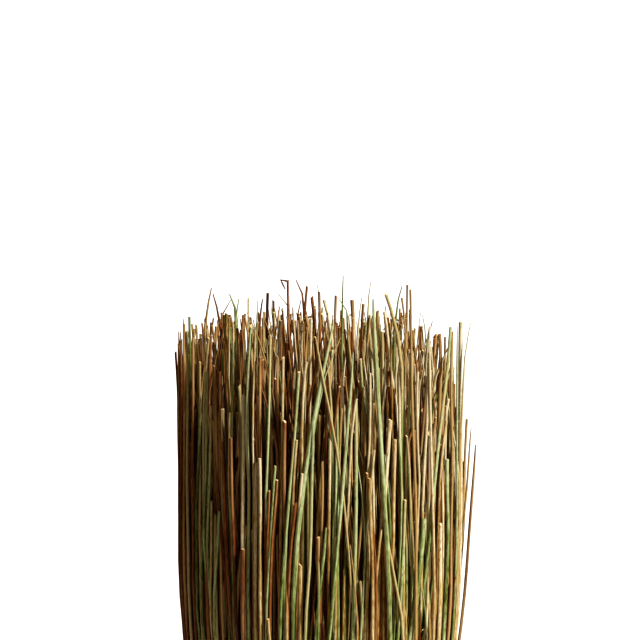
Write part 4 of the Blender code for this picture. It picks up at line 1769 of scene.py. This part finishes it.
@dataclass
class TwineTie:
    """The twine: turns side by side round the waist, a knot and two frayed ends, each of twisted strands."""

    form: BunchForm
    maker: RodMaker
    thick: float = 0.0024
    gap: float = 0.0004
    turns: int = 4
    step: float = 0.00075
    seed: int = 9

    # The last share of a turn steps down to the next. Sways: size, waves in a turn, and times its phase
    step_share: float = 0.045
    sways: tuple[tuple[float, int, int], ...] = ((0.00016, 4, 1), (0.00010, 9, 2))
    out_sways: tuple[tuple[float, int, int], ...] = ((0.00008, 7, 1),)

    strands: int = 3
    strand_sides: int = 6
    strand_radius: float = 0.00066
    strand_out: float = 0.00058
    twist: float = 0.0072
    strand_start: tuple[float, float, float] = (0.31, 0.17, 0.93)

    knot_angle: float = math.radians(-62)
    knot_size: float = 0.00106
    knot_flat: float = 0.9
    knot_out: float = 0.0010
    knot_points: int = 60

    # Both ends: the side, and the share of its length that each hangs down
    tails: tuple[tuple[int, float], ...] = ((-1, 0.84), (1, 1.0))
    tail_length: float = 0.026
    tail_detail: float = 1.2
    tail_aside: float = 0.10
    tail_turn: float = 1.3
    tail_out: float = 0.0012
    tail_leaves: float = 0.06
    tail_curl: float = 0.0007
    tail_waves: float = 5.0
    fray_length: float = 0.007
    fray_untwists: float = 0.15
    fray_parts: float = 2.2
    fray_power: float = 1.5
    fray_thins: float = 0.45

    hairs: int = 700
    hair_sides: int = 3
    hair_points: int = 5
    hair_lengths: Pair = (0.0015, 0.0048)
    hair_thick: Pair = (0.000055, 0.00002)
    hair_tilt: float = 0.8
    hair_lifts: Pair = (0.25, 1.0)
    hair_root: float = 0.42
    hair_rise: float = 0.6
    hair_power: float = 1.6

    def build(self, material: Material) -> Iterator[Object]:
        """Builds the tie.

        Args:
            material: The twine's finish.

        Yields:
            The twisted strands, then the loose fibres on them.
        """
        pick = np.random.default_rng(self.seed)
        wound = [self.winding(pick), self.knot()]
        tails = [self.tail(*tail) for tail in self.tails]
        parts = [self.twisted(line, False) for line in wound] + [self.twisted(line, True) for line in tails]
        made = []
        for number, (points, thick) in enumerate(parts):
            rods = self.as_rods(points, thick, pick)
            made.append(self.maker.make(f"twine_part_{number}", rods, self.strand_sides, material))
        twine = self.joined(made, "tie")
        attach(twine, "root")
        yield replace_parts(twine, "twine")
        loose = self.loose_fibres(np.concatenate([wound[0], *tails, *tails]), pick)
        fibres = self.maker.make("tie_fibres", loose, self.hair_sides, material)
        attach(fibres, "root")
        yield fibres

    def around(self, angle: Array, z: Array, radius: Array) -> Array:
        """Gives places round the bunch: 0 is the front and a positive angle is to the right."""
        return np.stack([radius * np.sin(angle), -radius * np.cos(angle), z], axis=1)

    def winding(self, pick: Random) -> Array:
        """Lays the turns side by side, each stepping down to the next under the knot.

        Args:
            pick: The source of what is random.

        Returns:
            The middle line of the twine.
        """
        radius = self.form.tie_radius + self.gap + self.thick / 2
        length = math.tau * radius * self.turns
        share = np.linspace(0.0, self.turns, round(length / self.step))
        turn = np.minimum(np.floor(share), self.turns - 1)
        late = np.clip((share - turn - (1 - self.step_share)) / self.step_share, 0.0, 1.0)
        late = np.where(turn == self.turns - 1, 0.0, late * late * (3 - 2 * late))
        top = self.form.tie_height + self.thick * (self.turns - 1) / 2
        angle = self.knot_angle + share * math.tau
        phase = pick.uniform(0, math.tau, self.turns)[turn.astype(int)]
        sway, out = (
            sum(size * np.sin(waves * angle + times * phase) for size, waves, times in sways)
            for sways in (self.sways, self.out_sways)
        )
        z = top - self.thick * (turn + late) + sway
        return self.around(angle, z, radius + out)

    def knot(self) -> Array:
        """Draws the knot, a small trefoil that lies on the turns.

        Returns:
            Its middle line.
        """
        t = np.linspace(0.0, math.tau, self.knot_points)
        across = (np.sin(t) + 2 * np.sin(2 * t)) * self.knot_size
        up = (np.cos(t) - 2 * np.cos(2 * t)) * self.knot_size
        out = -np.sin(3 * t) * self.knot_size * self.knot_flat
        radius = self.form.tie_radius + self.thick + self.knot_out
        return self.around(self.knot_angle + across / radius, self.form.tie_height + up, radius + out)

    def tail(self, side: int, drops: float) -> Array:
        """Gives the middle line of one end of the twine.

        Args:
            side: -1 for the left end and 1 for the right.
            drops: The share of its length that it hangs down.

        Returns:
            The line, from the knot to its end.
        """
        share = np.linspace(0.0, 1.0, round(self.tail_length / self.step * self.tail_detail))
        angle = self.knot_angle + side * self.tail_aside * np.sin(self.tail_turn * share)
        out = self.thick + self.tail_out + self.tail_leaves * self.tail_length * share
        curl = self.tail_curl * np.sin(self.tail_waves * share + side) * share
        z = self.form.tie_height - self.tail_length * share * drops
        return self.around(angle, z, self.form.tie_radius + out + curl)

    def twisted(self, line: Array, frays: bool) -> tuple[Array, Array]:
        """Winds the strands round a middle line.

        Args:
            line: The middle line.
            frays: Whether the strands part at its end.

        Returns:
            The strands' points, as (strands, points, 3), and their radii.
        """
        ahead = unit(np.gradient(line, axis=0))
        aside = np.zeros_like(line)
        aside[0] = np.cross(ahead[0], self.strand_start)
        for i in range(1, len(line)):
            aside[i] = aside[i - 1] - ahead[i] * np.dot(aside[i - 1], ahead[i])
            aside[i] /= np.linalg.norm(aside[i])
        aside[0] /= np.linalg.norm(aside[0])
        over = np.cross(ahead, aside)
        length = np.concatenate([[0.0], np.cumsum(np.linalg.norm(np.diff(line, axis=0), axis=1))])
        fray = np.clip((length - length[-1] + self.fray_length) / self.fray_length, 0.0, 1.0) * frays
        points, thick = [], []
        for strand in range(self.strands):
            turn = length / self.twist * math.tau * (1 - self.fray_untwists * fray)
            turn = turn + strand * math.tau / self.strands
            out = self.strand_out * (1 + self.fray_parts * fray**self.fray_power)
            offset = aside * np.cos(turn)[:, None] + over * np.sin(turn)[:, None]
            points.append(line + offset * out[:, None])
            thick.append(self.strand_radius * (1 - self.fray_thins * fray))
        return np.array(points), np.array(thick)

    def as_rods(self, points: Array, thick: Array, pick: Random) -> Rods:
        """Wraps strands as rods without slants or pith."""
        none = np.zeros_like(points)
        return Rods(points, thick, none, pick.random((len(points), 3)), none)

    def loose_fibres(self, line: Array, pick: Random) -> Rods:
        """Makes the short fibres that stand off the twine.

        Args:
            line: The places on the twine that they stand on.
            pick: The source of what is random.

        Returns:
            The fibres.
        """
        each = (self.hairs, 1)
        start = pick.integers(1, len(line) - 1, self.hairs)
        ahead = unit(line[start + 1] - line[start - 1])
        out = unit(line[start] * (1.0, 1.0, 0.0))
        up = np.array([0.0, 0.0, 1.0])
        side = pick.normal(0, self.hair_tilt, each) * up + out * pick.uniform(*self.hair_lifts, each)
        forward = ahead * pick.choice([-1.0, 1.0], each)
        long = pick.uniform(*self.hair_lengths, (self.hairs, 1, 1))
        share = np.linspace(0.0, 1.0, self.hair_points)[None, :, None]
        root = line[start] + out * self.thick * self.hair_root
        rise = side[:, None] * share**self.hair_power * self.hair_rise
        points = root[:, None] + long * (forward[:, None] * share + rise)
        thick = np.repeat(np.linspace(*self.hair_thick, self.hair_points)[None], self.hairs, axis=0)
        return self.as_rods(points, thick, pick)

    def joined(self, parts: list[Object], name: str) -> Object:
        """Joins meshes into the first of them.

        Args:
            parts: The objects.
            name: The joined object's name.

        Returns:
            The joined object.
        """
        with bpy.context.temp_override(
            active_object=parts[0], selected_editable_objects=parts, object=parts[0], selected_objects=parts
        ):
            bpy.ops.object.join()
        parts[0].name = parts[0].data.name = name
        return parts[0]


@dataclass(frozen=True)
class Lamp:
    """A lamp that shines from far away, with its width, its turn to the right and its height in degrees."""

    name: str
    power: float
    width: float
    turn: float
    height: float
    colour: Colour

    def make(self) -> None:
        """Makes the lamp."""
        data = bpy.data.lights.new(self.name, "SUN")
        data.energy, data.angle, data.color = self.power, math.radians(self.width), self.colour
        lamp = bpy.data.objects.new(self.name, data)
        bpy.context.scene.collection.objects.link(lamp)
        lamp.rotation_euler = (math.pi / 2 - math.radians(self.height), 0.0, math.radians(self.turn))


@dataclass
class Studio:
    """The set: a pale round floor that fades out, one hard lamp from the right, and white behind."""

    floor_radius: float = 0.85
    floor_sides: int = 96
    floor_fades: Pair = (0.30, 0.80)
    floor_colour: Colour = (0.86, 0.86, 0.85)
    floor_roughness: float = 0.9
    ambient: Colour = (0.064, 0.031, 0.004)
    white: Colour = (1.0, 1.0, 1.0)
    lamps: tuple[Lamp, ...] = (
        Lamp("key_lamp", 5.6, 6.0, 55.0, 43.0, (1.0, 0.962, 0.905)),
        Lamp("fill_lamp", 0.22, 60.0, 8.0, 30.0, (1.0, 0.78, 0.48)),
        Lamp("back_lamp", 1.9, 40.0, 196.0, 36.0, (1.0, 0.96, 0.90)),
    )

    def build(self) -> None:
        """Builds the floor, the lamps and the world."""
        self.make_floor()
        for lamp in self.lamps:
            lamp.make()
        self.make_world()
        settings = bpy.context.scene.view_settings
        settings.view_transform = "Standard"
        settings.look = "High Contrast"

    def make_world(self) -> None:
        """Makes the world: white where the camera sees it and dim where it lights the bunch."""
        world = bpy.data.worlds.new("white_behind")
        bpy.context.scene.world = world
        world.use_nodes = True
        world.node_tree.nodes.clear()
        bench = Bench(world.node_tree)
        is_seen = bench.node("ShaderNodeLightPath", output="Is Camera Ray")
        colours = ({"Color": colour} for colour in (self.ambient, self.white))
        dim, white = (bench.node("ShaderNodeBackground", sockets=colour) for colour in colours)
        both = bench.node("ShaderNodeMixShader", sockets={0: is_seen, 1: dim, 2: white})
        bench.plug(both, world.node_tree.nodes.new("ShaderNodeOutputWorld").inputs["Surface"])

    def make_floor(self) -> None:
        """Makes the floor as a disc that is clear at its rim."""
        bpy.ops.mesh.primitive_circle_add(
            vertices=self.floor_sides, radius=self.floor_radius, fill_type="NGON"
        )
        floor = bpy.context.object
        floor.name = "floor"
        floor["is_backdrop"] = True
        bench = FinishBench("pale_floor")
        place = bench.node("ShaderNodeTexCoord", output="Object")
        far = bench.node("ShaderNodeVectorMath", {"operation": "LENGTH"}, {0: place}, "Value")
        clear = bench.node("ShaderNodeBsdfTransparent")
        bench.set_shader({"Base Color": self.floor_colour, "Roughness": self.floor_roughness})
        solid = Wire(bench, bench.shader.outputs[0])
        fades = far.rises(*self.floor_fades)
        both = bench.node("ShaderNodeMixShader", sockets={0: fades, 1: solid, 2: clear})
        bench.plug(both, bench.tree.nodes["Material Output"].inputs["Surface"])
        floor.data.materials.append(bench.material)


def corners(box: tuple) -> list[list[float]]:
    """Gives a box's two corners as plain lists."""
    return [[round(float(value), 5) for value in corner] for corner in box]


def report(piece: Object) -> int:
    """Logs a piece, and gives how many triangles it has."""
    LOG.info("%s: %d faces", piece.name, len(piece.data.polygons))
    return len(piece.data.loops) - 2 * len(piece.data.polygons)


def main() -> None:
    """Builds the bunch, its tie and the set, and works out the sizes."""
    logging.basicConfig(level=logging.INFO, format="%(name)s: %(message)s")
    form, view = BunchForm(), PhotoView()
    view.make_camera()
    tree = SweepTree()
    tree.build()
    maker = RodMaker(tree)
    finishes = {finish.tone: finish.make() for finish in RUSH_FINISHES}
    total = sum(report(piece) for piece in RushBunch(form, view, maker).build(finishes))
    total += sum(report(piece) for piece in TwineTie(form, maker).build(TwineFinish().make()))
    LOG.info("%d triangles in all", total)
    Studio().build()
    {"cad": corners(CAD_BOX), "scene": corners(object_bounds())}


if __name__ == "__main__":
    main()
